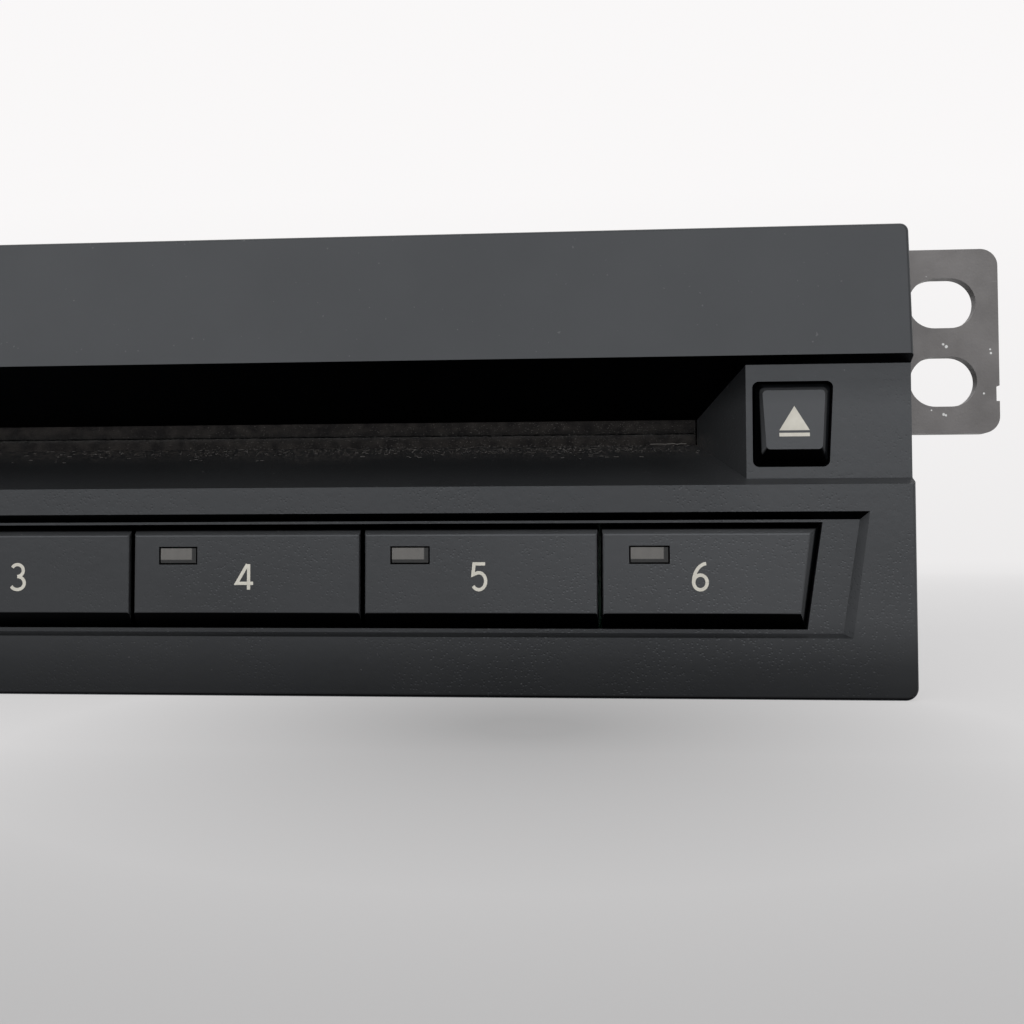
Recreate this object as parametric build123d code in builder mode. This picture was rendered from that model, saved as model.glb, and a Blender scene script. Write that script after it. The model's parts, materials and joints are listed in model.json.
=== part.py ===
from build123d import *

import os
from math import acos, atan2, cos, degrees, hypot, pi, radians, sin, tan

# In-dash six-disc CD changer, in millimetres. X is its width, Y runs from the front to the back and Z is
# up. The origin lies under the middle of the unit. A depth is measured back from the front of the fascia.

# Case
sheet = 1.0
case_inset = 5.5
fascia_rise = 3.0
cover_gap = 1.3
rear_gap = 5.0
stud_length = 8.0
stud_radius = 2.5

# Fascia moulding
fascia_depth = 12.0
wall = 1.8
panel_wall = 3.0
panel_end = 5.4
top_corner = 1.0
bottom_corner = 1.5
edge_round = 0.5
upper_panel_bottom = 41.0
upper_lean = 1.3
lower_panel_top = 25.5
surround_depth = 1.5
surround_wall = 1.8
funnel_depth = 10.5
funnel_margin = 18.7
funnel_end = 5.7
slot_bottom = 31.3
slot_height = 3.3
funnel_wall = 2.2
end_wall = 1.0
slot_wall = 1.7
boss_radius = 2.0
pilot_radius = 0.8
snap_x = 60.0
snap_width = 12.0
snap_length = 3.0
snap_depth = 7.0
snap_cut = 1.0
snap_bite = 1.0
snap_clearance = 0.5
snap_side_clearance = 1.0
felt_thickness = 0.8
felt_front = 10.6
felt_depth = 1.2
felt_end_gap = 0.2

# Key row
key_count = 6
key_pitch = 28.9
row_end_margin = 2.4
hole_slant = 1.9
hole_top = 21.05
hole_bottom = 8.25
recess_depth = 1.0
recess_rise = 1.25
recess_drop = 0.95
recess_end = 5.3
recess_slant = 2.1
recess_draft = 0.95
key_face_top = 19.65
key_face_bottom = 10.2
key_face_gap = 0.7
key_base_gap = 0.4
key_clearance = 0.22
key_end_draft = 1.5
key_draft_depth = 1.2
key_round = 0.25
key_travel = 0.8
flange_thickness = 1.0
flange_overlap = 0.8
seat_gap = 0.05
stem_radius = 1.5
stem_height = 14.2
stem_gap = 0.2
window_x = 5.9
window_z = 17.2
window_width = 4.45
window_height = 1.8
window_gap = 0.2

# Eject and load buttons, whose outlines are measured across from the middle of the button
button_margin = 14.0
button_height = 33.0
button_hole = ((-4.75, 38.05), (4.9, 38.05), (4.35, 27.7), (-4.75, 27.7))
button_face = ((-3.8, 36.75), (3.6, 36.75), (3.2, 29.7), (-3.35, 29.7))
button_clearance = 0.25
button_corner = 0.8
button_face_corner = 0.5
button_travel = 1.0
button_inner_overlap = 0.3

# Button board
board_thickness = 1.2
button_board_depth = 10.0
button_board_gap = 1.2
button_board_bottom = 3.0
button_board_top = 24.0
button_board_wing = 1.7
button_board_wing_top = 40.0
boss_low = 4.4
boss_heights = (14.0, 36.0)
boss_inset = 5.5
switch_size = 6.0
switch_height = 3.1
plunger_radius = 1.7
plunger_height = 0.6
led_size = (2.0, 1.0, 0.8)
guide_foot = (6.4, 3.6, 2.0)
guide_pocket = (2.4, 1.4, 1.2)
guide_front = 0.1

# Mounting ears
ear_reach = 14.4
ear_drop = 0.4
ear_height = 23.95
ear_sheet = 1.5
ear_corner = 2.2
ear_slot_inset = 7.05
ear_slot_drop = 12.1
ear_slot_pitch = 10.2
ear_slot_length = 8.5
ear_slot_width = 6.5
ear_notch_rise = 5.15
ear_notch_height = 2.0
ear_notch_depth = 0.4
leg_length = 48.0
leg_drop = 6.6
leg_bend = 1.2
bracket_screw_offsets = (13.0, 38.0)
bracket_screw_drop = 9.0
case_screw_front_offset = 6.0
case_screw_back_offset = 12.0
case_screw_drop = 4.0
screw_radius = 1.4
screw_head_radius = 2.9
screw_head_height = 1.3
screw_reach = 0.4
drive_length = 3.0
drive_width = 0.5
drive_depth = 1.0

# Sheet-metal case details
lip_height = 6.0
lip_setback = 2.0
window_side = 5.5
front_window_bottom = 4.0
front_window_drop = 5.0
vent_length = 34.0
vent_width = 3.0
vent_pitch = 7.0
vent_rows = 5
vent_x = 44.0
vent_offset = 46.0
emboss_radius = 66.0
emboss_height = 0.6
emboss_band = 3.0
emboss_slope = 30.0
side_vent_length = 3.0
side_vent_height = 16.0
side_vent_pitch = 7.0
side_vent_count = 5
side_vent_offset = 31.0
side_vent_z = 30.0
rear_vent_count = 6
rear_vent_x = -50.0
stud_height = 32.0
stud_base_radius = 5.0
stud_base_height = 2.0

# Electronics
board_side_gap = 16.5
main_board_front = 20.0
main_board_thickness = 1.6
main_board_height = 3.5
main_board_corner = 2.0
standoff_radius = 3.0
standoff_inset = 6.0
connector_inset = 20.0
connector_width = 36.0
connector_inside = 11.0
connector_outside = 4.0
connector_height = 14.0
connector_wall = 1.5
connector_cavity = 10.0
connector_pin = 1.0
connector_pin_columns = 8
connector_pin_pitch = 3.6
connector_row_pitch = 5.0
cutout_gap = 0.2
chips = (
    (-40, 60, 20, 14, 1.8),
    (10, 60, 14, 14, 1.6),
    (45, 95, 16, 10, 2.4),
    (-20, 110, 24, 12, 1.8),
    (20, 135, 9, 9, 1.2),
)
ribbon_x = -30.0
ribbon_width = 20.0
ribbon_thickness = 0.4
ribbon_height = 8.0
ribbon_fold = 15.0
ribbon_end = 24.0

# Mechanism deck
deck_rise = 3.9
deck_sheet = 1.2
deck_side_gap = 4.5
deck_front_gap = 4.0
deck_tail = 14.0
deck_notch_x = 32.0
deck_notch_length = 8.0
deck_slot_length = 60.0
deck_slot_width = 14.0
deck_slot_pitch = 28.0
damper_radius = 5.0
damper_waist = 3.6
damper_inset = 6.0
damper_setback = 16.0
run = 0.05

# Loading train
roller_setback = 14.0
roller_drop = 3.5
roller_shaft_radius = 2.5
roller_end_radius = 4.5
roller_waist_radius = 3.9
roller_inner = 4.0
roller_end_gap = 7.0
bracket_inset = 9.0
bracket_sheet = 1.2
bracket_front_gap = 1.6
bracket_rise = 1.8
bracket_reach = 48.0
bracket_shoulder = 6.0
base_front_reach = 10.0
base_back_reach = 2.0
guide_front_reach = 2.5
guide_back_reach = 4.0
guide_drop = 0.2
guide_plate_thickness = 1.6
guide_rib_count = 7
guide_rib_pitch = 18.0
guide_rib_width = 1.2
guide_rib_height = 1.4
gear_module = 0.8
gear_pressure = radians(25)
gear_addendum = 0.8
gear_dedendum = 1.1
gear_backlash = 0.16
gear_width = 4.0
gear_gap = 0.4
roller_teeth = 16
idler_teeth = 20
pinion_teeth = 10
idler_slope = -30.0
idler_pin_radius = 1.5
motor_shaft_radius = 1.0
motor_shaft_reach = 5.0
load_motor_radius = 7.5
load_motor_gap = 1.0
motor_boss_radius = 3.0
shutter_front_gap = 2.6
shutter_rise = 3.6
shutter_drop = 0.7
shutter_end_gap = 6.0
shutter_thickness = 0.8
shutter_barrel = 1.4
shutter_pin_radius = 1.0

# Disc stack and lift
disc_radius = 60.0
disc_clearance = 0.5
disc_front_gap = 8.0
tray_rim = 1.0
tray_front_rim = 2.0
tray_back_rim = 4.0
tray_thickness = 1.2
tray_recess = 0.4
tray_hub_radius = 8.0
tray_count = 6
tray_pitch = 3.0
tray_gap = 0.7
tray_tab_radius = 5.5
tray_finger_width = 12.0
tray_finger_length = 22.0
deck_margin = 2.0
lift_screw_radius = 3.0
lift_screw_overrun = 0.7
lift_screw_clearance = 0.3
screw_front_x = 60.0
screw_front_offset = 57.0
screw_rear_x = 56.0
screw_rear_offset = 59.0
pulley_radius = 6.0
pulley_gap = 0.3
pulley_width = 1.8
belt_inset = 0.2
belt_thickness = 1.2
lift_motor_x = -30.0
lift_motor_setback = 8.0
lift_pulley_radius = 4.0
lift_motor_radius = 6.5
lift_motor_height = 17.0
lift_motor_gap = 0.5
lift_foot = (8.0, 2.4)
lift_foot_setback = 1.8
lift_foot_shift = 0.6

# Playback deck, which swings in between the two halves of the stack
pivot_inset = 12.5
pivot_offset = 57.0
swing_angle = 51.0
pivot_post_radius = 4.0
pivot_shoulder_radius = 6.0
pivot_base_radius = 7.0
pivot_base_height = 1.8
pivot_rise = 2.0
pivot_ring_radius = 5.5
pivot_ring_height = 0.6
arm_gap = 3.0
arm_sheet = 1.2
arm_pivot_radius = 9.0
arm_tip_radius = 14.0
arm_sleeve_radius = 7.0
clamp_gap = 1.4
clamp_sheet = 1.2
clamp_radius = 8.0
upper_tray_gap = 2.3
spindle_motor_radius = 12.0
spindle_motor_height = 6.0
spindle_radius = 1.0
turntable_gap = 0.6
turntable_radius = 13.0
turntable_thickness = 2.0
turntable_hub_radius = 7.3
turntable_hub_height = 1.0
puck_gap = 1.6
puck_radius = 12.0
puck_thickness = 5.0
puck_axle_radius = 2.0
rail_offset = 8.0
rail_radius = 1.0
rail_rise = 3.5
rail_back = 26.5
rail_post = 2.5
rail_post_width = 4.0
rail_tip_gap = 12.5
sled_motor_radius = 3.5
sled_motor_length = 14.5
lead_screw_radius = 1.2
pickup_length = 16.0
pickup_width = 22.0
pickup_gap = 1.2
pickup_height = 4.6
pickup_rail_gap = 1.0
pickup_lens_offset = 2.0
pickup_lens_radius = 2.5
pickup_lens_height = 0.6

# Widths that follow, from the key row to the ears and from the case to the mechanism
hole_top_half = key_count * key_pitch / 2 - row_end_margin
hole_bottom_half = hole_top_half - hole_slant
recess_top_half = hole_top_half + recess_end
recess_bottom_half = recess_top_half - recess_slant
fascia_half = round(recess_top_half + panel_end, 6)
fascia_width = 2 * fascia_half
funnel_half_length = fascia_half - funnel_margin
slot_half_length = funnel_half_length - funnel_end
button_x = fascia_half - button_margin
chassis_half = fascia_half - case_inset
chassis_width = 2 * chassis_half
inner_half = chassis_half - sheet
ear_outer = fascia_half + ear_reach
ear_slot_x = ear_outer - ear_slot_inset
main_board_half = inner_half - board_side_gap
standoff_x = main_board_half - standoff_inset
connector_x = main_board_half - connector_inset
deck_half = inner_half - deck_side_gap
damper_x = deck_half - damper_inset
bracket_inner = deck_half - bracket_inset
roller_outer = bracket_inner - roller_end_gap
shutter_half = bracket_inner - shutter_end_gap
gear_x = bracket_inner + bracket_sheet + gear_gap
tray_half = disc_radius + tray_rim
load_motor_length = bracket_inner - tray_half - load_motor_gap
pivot_x = pivot_inset - inner_half

# Depths that follow, from the front to the back
roller_depth = fascia_depth + roller_setback
shutter_depth = fascia_depth + shutter_front_gap
bracket_front = fascia_depth + bracket_front_gap
deck_front = fascia_depth + deck_front_gap
disc_depth = roller_depth + disc_front_gap + disc_radius
tray_front = disc_depth - disc_radius - tray_front_rim
tray_back = disc_depth + disc_radius + tray_back_rim
screw_places = {
    "front_left": (-screw_front_x, disc_depth - screw_front_offset),
    "front_right": (screw_front_x, disc_depth - screw_front_offset),
    "rear_left": (-screw_rear_x, disc_depth + screw_rear_offset),
    "rear_right": (screw_rear_x, disc_depth + screw_rear_offset),
}
lift_motor_place = (lift_motor_x, tray_back + lift_motor_setback)
lift_foot_depth = tray_back + lift_foot_setback
deck_back = tray_back + deck_tail
chassis_back = deck_back + rear_gap
chassis_depth = chassis_back - fascia_depth
overall_depth = chassis_back + stud_length
front_y = -overall_depth / 2
standoff_depths = (main_board_front + standoff_inset, deck_back - standoff_inset)
damper_depths = (deck_front + damper_setback, deck_back - damper_setback)
bracket_screw_depths = [fascia_depth + offset for offset in bracket_screw_offsets]
case_screw_depths = (disc_depth + case_screw_front_offset, chassis_back - case_screw_back_offset)
leg_back = fascia_depth + leg_length
pivot_depth = disc_depth + pivot_offset
idler_distance = gear_module * (roller_teeth + idler_teeth) / 2
idler_depth = roller_depth + idler_distance * cos(radians(idler_slope))
pinion_depth = idler_depth + gear_module * (idler_teeth + pinion_teeth) / 2
bracket_left_back = roller_depth + bracket_shoulder
bracket_right_back = fascia_depth + bracket_reach
arm_length = hypot(pivot_x, pivot_offset)
parked_angle = atan2(pivot_offset, -pivot_x) + radians(swing_angle)
rail_front = arm_length - rail_tip_gap
pickup_place = rail_front - rail_post - pickup_rail_gap - pickup_length / 2

# Heights that follow, from the floor up
board_top = main_board_height + main_board_thickness
deck_height = board_top + deck_rise
deck_top = deck_height + deck_sheet
pulley_height = deck_top + pulley_gap
stack_rise = (tray_count // 2 - 1) * tray_pitch + tray_thickness
lower_tray_height = pulley_height + pulley_width + tray_gap
arm_height = lower_tray_height + stack_rise + arm_gap
arm_top = arm_height + arm_sheet
rail_height = arm_top + rail_rise
pickup_bottom = arm_top + pickup_gap
pickup_top = pickup_bottom + pickup_height
turntable_height = arm_top + spindle_motor_height + turntable_gap
puck_height = turntable_height + turntable_thickness + puck_gap
clamp_height = puck_height + puck_thickness + clamp_gap
pivot_top = clamp_height + pivot_rise
upper_tray_height = clamp_height + clamp_sheet + upper_tray_gap
lift_screw_top = upper_tray_height + stack_rise + lift_screw_overrun
chassis_height = upper_tray_height + stack_rise + cover_gap + sheet
fascia_height = chassis_height + fascia_rise
recess_top = hole_top + recess_rise
recess_bottom = hole_bottom - recess_drop
slot_top = slot_bottom + slot_height
roller_height = slot_bottom - roller_drop
idler_height = roller_height + idler_distance * sin(radians(idler_slope))
guide_plate_bottom = slot_top - guide_drop
shutter_height = slot_top + shutter_rise
shutter_bottom = slot_bottom - shutter_drop
bracket_top = shutter_height + bracket_rise
ear_top = fascia_height - ear_drop
ear_bottom = ear_top - ear_height
ear_slot_z = ear_top - ear_slot_drop
leg_top = ear_top - leg_drop
bracket_screw_height = leg_top - bracket_screw_drop
case_screw_height = chassis_height - case_screw_drop


def front_plane(depth):
    """Plane that faces the user at a depth; its local axes are X and Z."""
    return Plane(origin=(0, front_y + depth, 0), x_dir=(1, 0, 0), z_dir=(0, -1, 0))


def side_plane(x):
    """Plane square to X; its local axes are depth and height."""
    return Plane(origin=(x, front_y, 0), x_dir=(0, 1, 0), z_dir=(1, 0, 0))


def floor_plane(height):
    """Level plane at a height; its local axes are X and depth."""
    return Plane(origin=(0, front_y, height), x_dir=(1, 0, 0), z_dir=(0, 0, 1))


def arm_plane(height):
    """Level plane of the parked playback deck; local x runs from its pivot to its spindle."""
    origin = (pivot_x, front_y + pivot_depth, height)
    return Plane(origin=origin, x_dir=(cos(parked_angle), -sin(parked_angle), 0), z_dir=(0, 0, 1))


def cut_back(depth):
    """Cut the pending sketch back into the part."""
    extrude(amount=-depth, mode=Mode.SUBTRACT)


def funnel_half(depth):
    """Half length of the slot funnel at a depth."""
    return funnel_half_length - (funnel_half_length - slot_half_length) * depth / funnel_depth


def funnel_top(depth):
    """Height of the funnel's upper face at a depth."""
    return upper_panel_bottom - (upper_panel_bottom - slot_top) * depth / funnel_depth


def funnel_bottom(depth):
    """Height of the funnel's lower ramp at a depth."""
    return lower_panel_top + (slot_bottom - lower_panel_top) * depth / funnel_depth


def funnel_section(depth):
    """Rectangle of the funnel at a depth."""
    low, high = funnel_bottom(depth), funnel_top(depth)
    with BuildSketch(front_plane(depth)) as section:
        with Locations((0, (low + high) / 2)):
            Rectangle(2 * funnel_half(depth), high - low)
    return section


def trapezoid(low, high, low_half, high_half):
    """Corner points of a trapezoid that is even about the middle of the unit."""
    return ((-low_half, low), (low_half, low), (high_half, high), (-high_half, high))


def fascia_block():
    """Solid of the fascia before it is hollowed, with its rounded outer edges."""
    with BuildPart() as block:
        with BuildSketch(side_plane(-fascia_width / 2)):
            Polygon(
                (0, 0),
                (fascia_depth, 0),
                (fascia_depth, fascia_height),
                (upper_lean, fascia_height),
                (0, upper_panel_bottom),
            )
        extrude(amount=fascia_width)
        corners = block.edges().filter_by(Axis.Y).group_by(Axis.Z)
        fillet(corners[0], bottom_corner)
        corners = block.edges().filter_by(Axis.Y).group_by(Axis.Z)
        fillet(corners[-1], top_corner)
        rim = block.faces().sort_by(Axis.Y)[0].edges().filter_by(Axis.X).sort_by(Axis.Z)[0]
        fillet(rim, edge_round)
    return block


def make_fascia():
    """Moulded bezel with the slot funnel, the key recess and the hollow back."""
    block = fascia_block()
    sections = [funnel_section(-surround_depth), funnel_section(funnel_depth)]
    with BuildPart() as fascia:
        add(block.part)
        with BuildSketch(side_plane(-fascia_width)):
            Polygon(
                (-surround_depth, funnel_top(-surround_depth)),
                (surround_depth, funnel_top(surround_depth)),
                (surround_depth, funnel_bottom(surround_depth)),
                (-surround_depth, funnel_bottom(-surround_depth)),
            )
        extrude(amount=2 * fascia_width, mode=Mode.SUBTRACT)
        loft([section.sketch for section in sections], mode=Mode.SUBTRACT)
        with BuildSketch(front_plane(funnel_depth)):
            with Locations((0, (slot_bottom + slot_top) / 2)):
                Rectangle(2 * slot_half_length, slot_top - slot_bottom)
        cut_back(fascia_depth)
        hollow_back()
        with BuildSketch(front_plane(0)):
            Polygon(*trapezoid(recess_bottom, recess_top, recess_bottom_half, recess_top_half))
        with BuildSketch(front_plane(recess_depth)):
            floor_low = recess_bottom + recess_draft / 2
            floor_high = recess_top - recess_draft
            low_half = recess_bottom_half - recess_draft
            Polygon(*trapezoid(floor_low, floor_high, low_half, recess_top_half - recess_draft))
        loft(mode=Mode.SUBTRACT)
        with BuildSketch(front_plane(0)):
            Polygon(*trapezoid(hole_bottom, hole_top, hole_bottom_half, hole_top_half))
        cut_back(fascia_depth)
        with BuildSketch(front_plane(0)) as holes:
            Polygon(*button_outline(button_hole))
            fillet(holes.vertices(), button_corner)
            mirror(about=Plane.YZ)
        cut_back(fascia_depth)
        with BuildSketch(front_plane(button_board_depth)):
            with Locations(*boss_places()):
                Circle(boss_radius)
        extrude(amount=button_board_depth - panel_wall + seat_gap)
        with BuildSketch(front_plane(button_board_depth)):
            with Locations(*boss_places()):
                Circle(pilot_radius)
        extrude(amount=button_board_depth - panel_wall - surround_wall, mode=Mode.SUBTRACT)
        for height in (0, fascia_height):
            with BuildSketch(floor_plane(height)):
                middle = snap_depth + snap_length / 2
                with Locations((-snap_x, middle), (snap_x, middle)):
                    Rectangle(snap_width, snap_length)
            extrude(amount=wall + snap_cut, both=True, mode=Mode.SUBTRACT)
    return fascia


def boss_places():
    """Places of the seven screw bosses of the button board."""
    row = [(x, boss_low) for x in (-2 * key_pitch, 0, 2 * key_pitch)]
    side = fascia_half - boss_inset
    return row + [(x, height) for height in boss_heights for x in (-side, side)]


def hollow_back():
    """Pockets behind the upper panel, behind the key panel and behind each end of the slot."""
    half = fascia_width / 2 - wall
    shell_top = fascia_height - wall
    panel_back = surround_depth + surround_wall
    with BuildSketch(side_plane(-half)) as upper:
        Polygon(
            (wall, funnel_top(wall) + funnel_wall),
            (fascia_depth, funnel_top(fascia_depth) + funnel_wall),
            (fascia_depth, shell_top),
            (upper_lean + wall, shell_top),
        )
    extrude(upper.sketch, amount=2 * half, mode=Mode.SUBTRACT)
    with BuildSketch(side_plane(-half)) as lower:
        Polygon(
            (panel_wall, wall),
            (fascia_depth, wall),
            (fascia_depth, funnel_bottom(fascia_depth) - funnel_wall),
            (panel_wall, funnel_bottom(panel_wall) - funnel_wall),
        )
    extrude(lower.sketch, amount=2 * half, mode=Mode.SUBTRACT)
    with BuildSketch(floor_plane(wall)) as ends:
        Polygon(
            (funnel_half(panel_back) + end_wall, panel_back),
            (half, panel_back),
            (half, fascia_depth),
            (slot_half_length + slot_wall, fascia_depth),
        )
        mirror(about=Plane.YZ)
    extrude(ends.sketch, amount=shell_top - wall, mode=Mode.SUBTRACT)


def make_felt(low):
    """Flocked strip on one lip of the slot."""
    with BuildPart() as felt:
        with BuildSketch(front_plane(felt_front)):
            with Locations((0, low + felt_thickness / 2)):
                Rectangle(2 * (slot_half_length - felt_end_gap), felt_thickness)
        extrude(amount=-felt_depth)
    return felt


def key_outline(index, low, high, gap, low_end, high_end):
    """Corner points of one key; the outer keys end along the slanted side of the row."""
    left = (index - key_count / 2) * key_pitch + gap / 2
    right = left + key_pitch - gap
    low_left, high_left = (-low_end, -high_end) if index == 0 else (left, left)
    low_right, high_right = (low_end, high_end) if index == key_count - 1 else (right, right)
    return ((low_left, low), (low_right, low), (high_right, high), (high_left, high))


def make_key(index):
    """Key cap with drafted sides, a window for its light guide, a rear flange and a stem."""
    low, high = hole_bottom + key_clearance, hole_top - key_clearance
    low_end, high_end = hole_bottom_half - key_clearance, hole_top_half - key_clearance
    base = key_outline(index, low, high, key_base_gap, low_end, high_end)
    face_ends = (low_end - key_end_draft / 2, high_end - key_end_draft)
    face = key_outline(index, key_face_bottom, key_face_top, key_face_gap, *face_ends)
    rim_ends = (hole_bottom_half + flange_overlap, hole_top_half + flange_overlap)
    rim_low, rim_high = hole_bottom - flange_overlap, hole_top + flange_overlap
    rim = key_outline(index, rim_low, rim_high, key_base_gap, *rim_ends)
    middle = (index + 0.5 - key_count / 2) * key_pitch
    flange_front = panel_wall + seat_gap
    flange_back = flange_front + flange_thickness
    plunger = button_board_depth - switch_height - plunger_height
    with BuildPart() as key:
        with BuildSketch(front_plane(key_draft_depth)):
            Polygon(*base)
        with BuildSketch(front_plane(0)):
            Polygon(*face)
        loft()
        fillet(key.faces().sort_by(Axis.Y)[0].edges(), key_round)
        with BuildSketch(front_plane(key_draft_depth)):
            Polygon(*base)
        extrude(amount=key_draft_depth - flange_front)
        with BuildSketch(front_plane(flange_front)):
            Polygon(*rim)
        extrude(amount=-flange_thickness)
        with BuildSketch(front_plane(flange_back)):
            with Locations((middle, stem_height)):
                Circle(stem_radius)
        extrude(amount=flange_back - plunger + key_travel + stem_gap)
        with BuildSketch(front_plane(0)):
            with Locations((middle - key_pitch / 2 + window_x, window_z)):
                Rectangle(window_width + 2 * window_gap, window_height + 2 * window_gap)
        cut_back(button_board_depth)
    return key


def button_outline(corners):
    """Outline of the eject button or its hole, at its place beside the slot."""
    return [(button_x + x, height) for x, height in corners]


def make_eject_button():
    """Eject cap: a low pyramid in its own hole beside the slot."""
    hole = button_outline(button_hole)
    flange_front = surround_depth + surround_wall + seat_gap
    flange_back = flange_front + flange_thickness
    plunger = button_board_depth - switch_height - plunger_height
    with BuildPart() as button:
        with BuildSketch(front_plane(surround_depth)) as base:
            Polygon(*hole)
            offset(amount=-button_clearance, kind=Kind.INTERSECTION)
            fillet(base.vertices(), button_corner)
        with BuildSketch(front_plane(0)) as face:
            Polygon(*button_outline(button_face))
            fillet(face.vertices(), button_face_corner)
        loft()
        extrude(base.sketch, amount=surround_depth - flange_front)
        with BuildSketch(front_plane(flange_front)):
            left = hole[0][0] - button_inner_overlap
            right = hole[1][0] + flange_overlap
            low = hole[2][1] - flange_overlap
            high = hole[0][1] + flange_overlap
            with Locations(((left + right) / 2, (low + high) / 2)):
                Rectangle(right - left, high - low)
        extrude(amount=-flange_thickness)
        with BuildSketch(front_plane(flange_back)):
            with Locations((button_x, button_height)):
                Circle(stem_radius)
        extrude(amount=flange_back - plunger + button_travel + stem_gap)
    return button


def make_load_button(eject):
    """Load cap: the eject cap's mirror image."""
    with BuildPart() as button:
        mirror(eject.part, about=Plane.YZ)
    return button


def make_button_board():
    """Board behind the keys, with a wing up behind the button at each end."""
    half = fascia_half - wall - button_board_gap
    wing = funnel_half_length + button_board_wing
    with BuildPart() as board:
        with BuildSketch(front_plane(button_board_depth)):
            with BuildLine():
                Polyline(
                    (0, button_board_bottom),
                    (half, button_board_bottom),
                    (half, button_board_wing_top),
                    (wing, button_board_wing_top),
                    (wing, button_board_top),
                    (0, button_board_top),
                )
                mirror(about=Plane.YZ)
            make_face()
        extrude(amount=-board_thickness)
        with BuildSketch(front_plane(button_board_depth)):
            with Locations(*boss_places()):
                Circle(pilot_radius)
        cut_back(board_thickness)
    return board


def stem_places():
    """Places of the eight switch stems."""
    keys = [((i + 0.5 - key_count / 2) * key_pitch, stem_height) for i in range(key_count)]
    return keys + [(button_x, button_height), (-button_x, button_height)]


def window_places():
    """Middles of the key windows."""
    return [((i - key_count / 2) * key_pitch + window_x, window_z) for i in range(key_count)]


def make_tact_switches():
    """Switches on the button board, each with its round plunger."""
    with BuildPart() as switches:
        with BuildSketch(front_plane(button_board_depth)):
            with Locations(*stem_places()):
                Rectangle(switch_size, switch_size)
        extrude(amount=switch_height)
        with BuildSketch(front_plane(button_board_depth - switch_height)):
            with Locations(*stem_places()):
                Circle(plunger_radius)
        extrude(amount=plunger_height)
    return switches


def make_indicator_leds():
    """Chip LEDs under the light guides."""
    with BuildPart() as leds:
        with BuildSketch(front_plane(button_board_depth)):
            with Locations(*window_places()):
                Rectangle(led_size[0], led_size[1])
        extrude(amount=led_size[2])
    return leds


def make_light_guides():
    """Clear guides that stand on the board and end flush in the key windows."""
    with BuildPart() as guides:
        with BuildSketch(front_plane(button_board_depth)):
            with Locations(*window_places()):
                Rectangle(guide_foot[0], guide_foot[1])
        extrude(amount=guide_foot[2])
        with BuildSketch(front_plane(button_board_depth)):
            with Locations(*window_places()):
                Rectangle(window_width, window_height)
        extrude(amount=button_board_depth - guide_front)
        with BuildSketch(front_plane(button_board_depth)):
            with Locations(*window_places()):
                Rectangle(guide_pocket[0], guide_pocket[1])
        extrude(amount=guide_pocket[2], mode=Mode.SUBTRACT)
    return guides


def make_bottom_chassis():
    """Folded tray with side walls, a front flange with snap hooks, and standoffs."""
    wall_height = chassis_height - sheet
    front_window_top = chassis_height - front_window_drop
    with BuildPart() as chassis:
        with BuildSketch(front_plane(fascia_depth)) as section:
            with Locations((0, wall_height / 2)):
                Rectangle(chassis_width, wall_height)
            with Locations((0, sheet + wall_height / 2)):
                Rectangle(chassis_width - 2 * sheet, wall_height, mode=Mode.SUBTRACT)
        extrude(amount=-chassis_depth)
        with BuildSketch(front_plane(fascia_depth)):
            with Locations((0, wall_height / 2)):
                Rectangle(chassis_width, wall_height)
            with Locations((0, (front_window_bottom + front_window_top) / 2)):
                window = front_window_top - front_window_bottom
                Rectangle(chassis_width - 2 * window_side, window, mode=Mode.SUBTRACT)
        extrude(amount=-sheet)
        with BuildSketch(side_plane(0)):
            snap_hook(wall + seat_gap, wall - snap_bite)
            snap_hook(wall_height - sheet, fascia_height - wall / 2)
        hooks = extrude(amount=snap_width / 2 - snap_side_clearance, both=True, mode=Mode.PRIVATE)
        with Locations((-snap_x, 0, 0), (snap_x, 0, 0)):
            add(hooks)
        with BuildSketch(floor_plane(sheet)):
            with Locations(*[(x, d) for x in (-standoff_x, standoff_x) for d in standoff_depths]):
                Circle(standoff_radius)
        extrude(amount=main_board_height - sheet)
        with BuildSketch(side_plane(0)):
            with Locations((disc_depth + side_vent_offset, side_vent_z)):
                with GridLocations(side_vent_pitch, 0, side_vent_count, 1):
                    SlotOverall(side_vent_height, side_vent_length, rotation=90)
        extrude(amount=chassis_width, both=True, mode=Mode.SUBTRACT)
        side_screw_holes(bracket_screw_depths, bracket_screw_height)
        side_screw_holes(case_screw_depths, case_screw_height)
    return chassis


def snap_hook(low, tip):
    """Side view of a hook that runs forward from the flange and turns into a window of the fascia."""
    front = snap_depth + snap_clearance
    near, far = (low, low + sheet) if tip > low else (low + sheet, low)
    Polygon(
        (fascia_depth + sheet, near),
        (front, near),
        (front, tip),
        (front + sheet, tip),
        (front + sheet, far),
        (fascia_depth + sheet, far),
    )


def side_screw_holes(depths, height):
    """Holes of a row of screws through both sides."""
    with BuildSketch(side_plane(-fascia_width)) as holes:
        with Locations(*[(depth, height) for depth in depths]):
            Circle(screw_radius)
    extrude(holes.sketch, amount=2 * fascia_width, mode=Mode.SUBTRACT)


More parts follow.
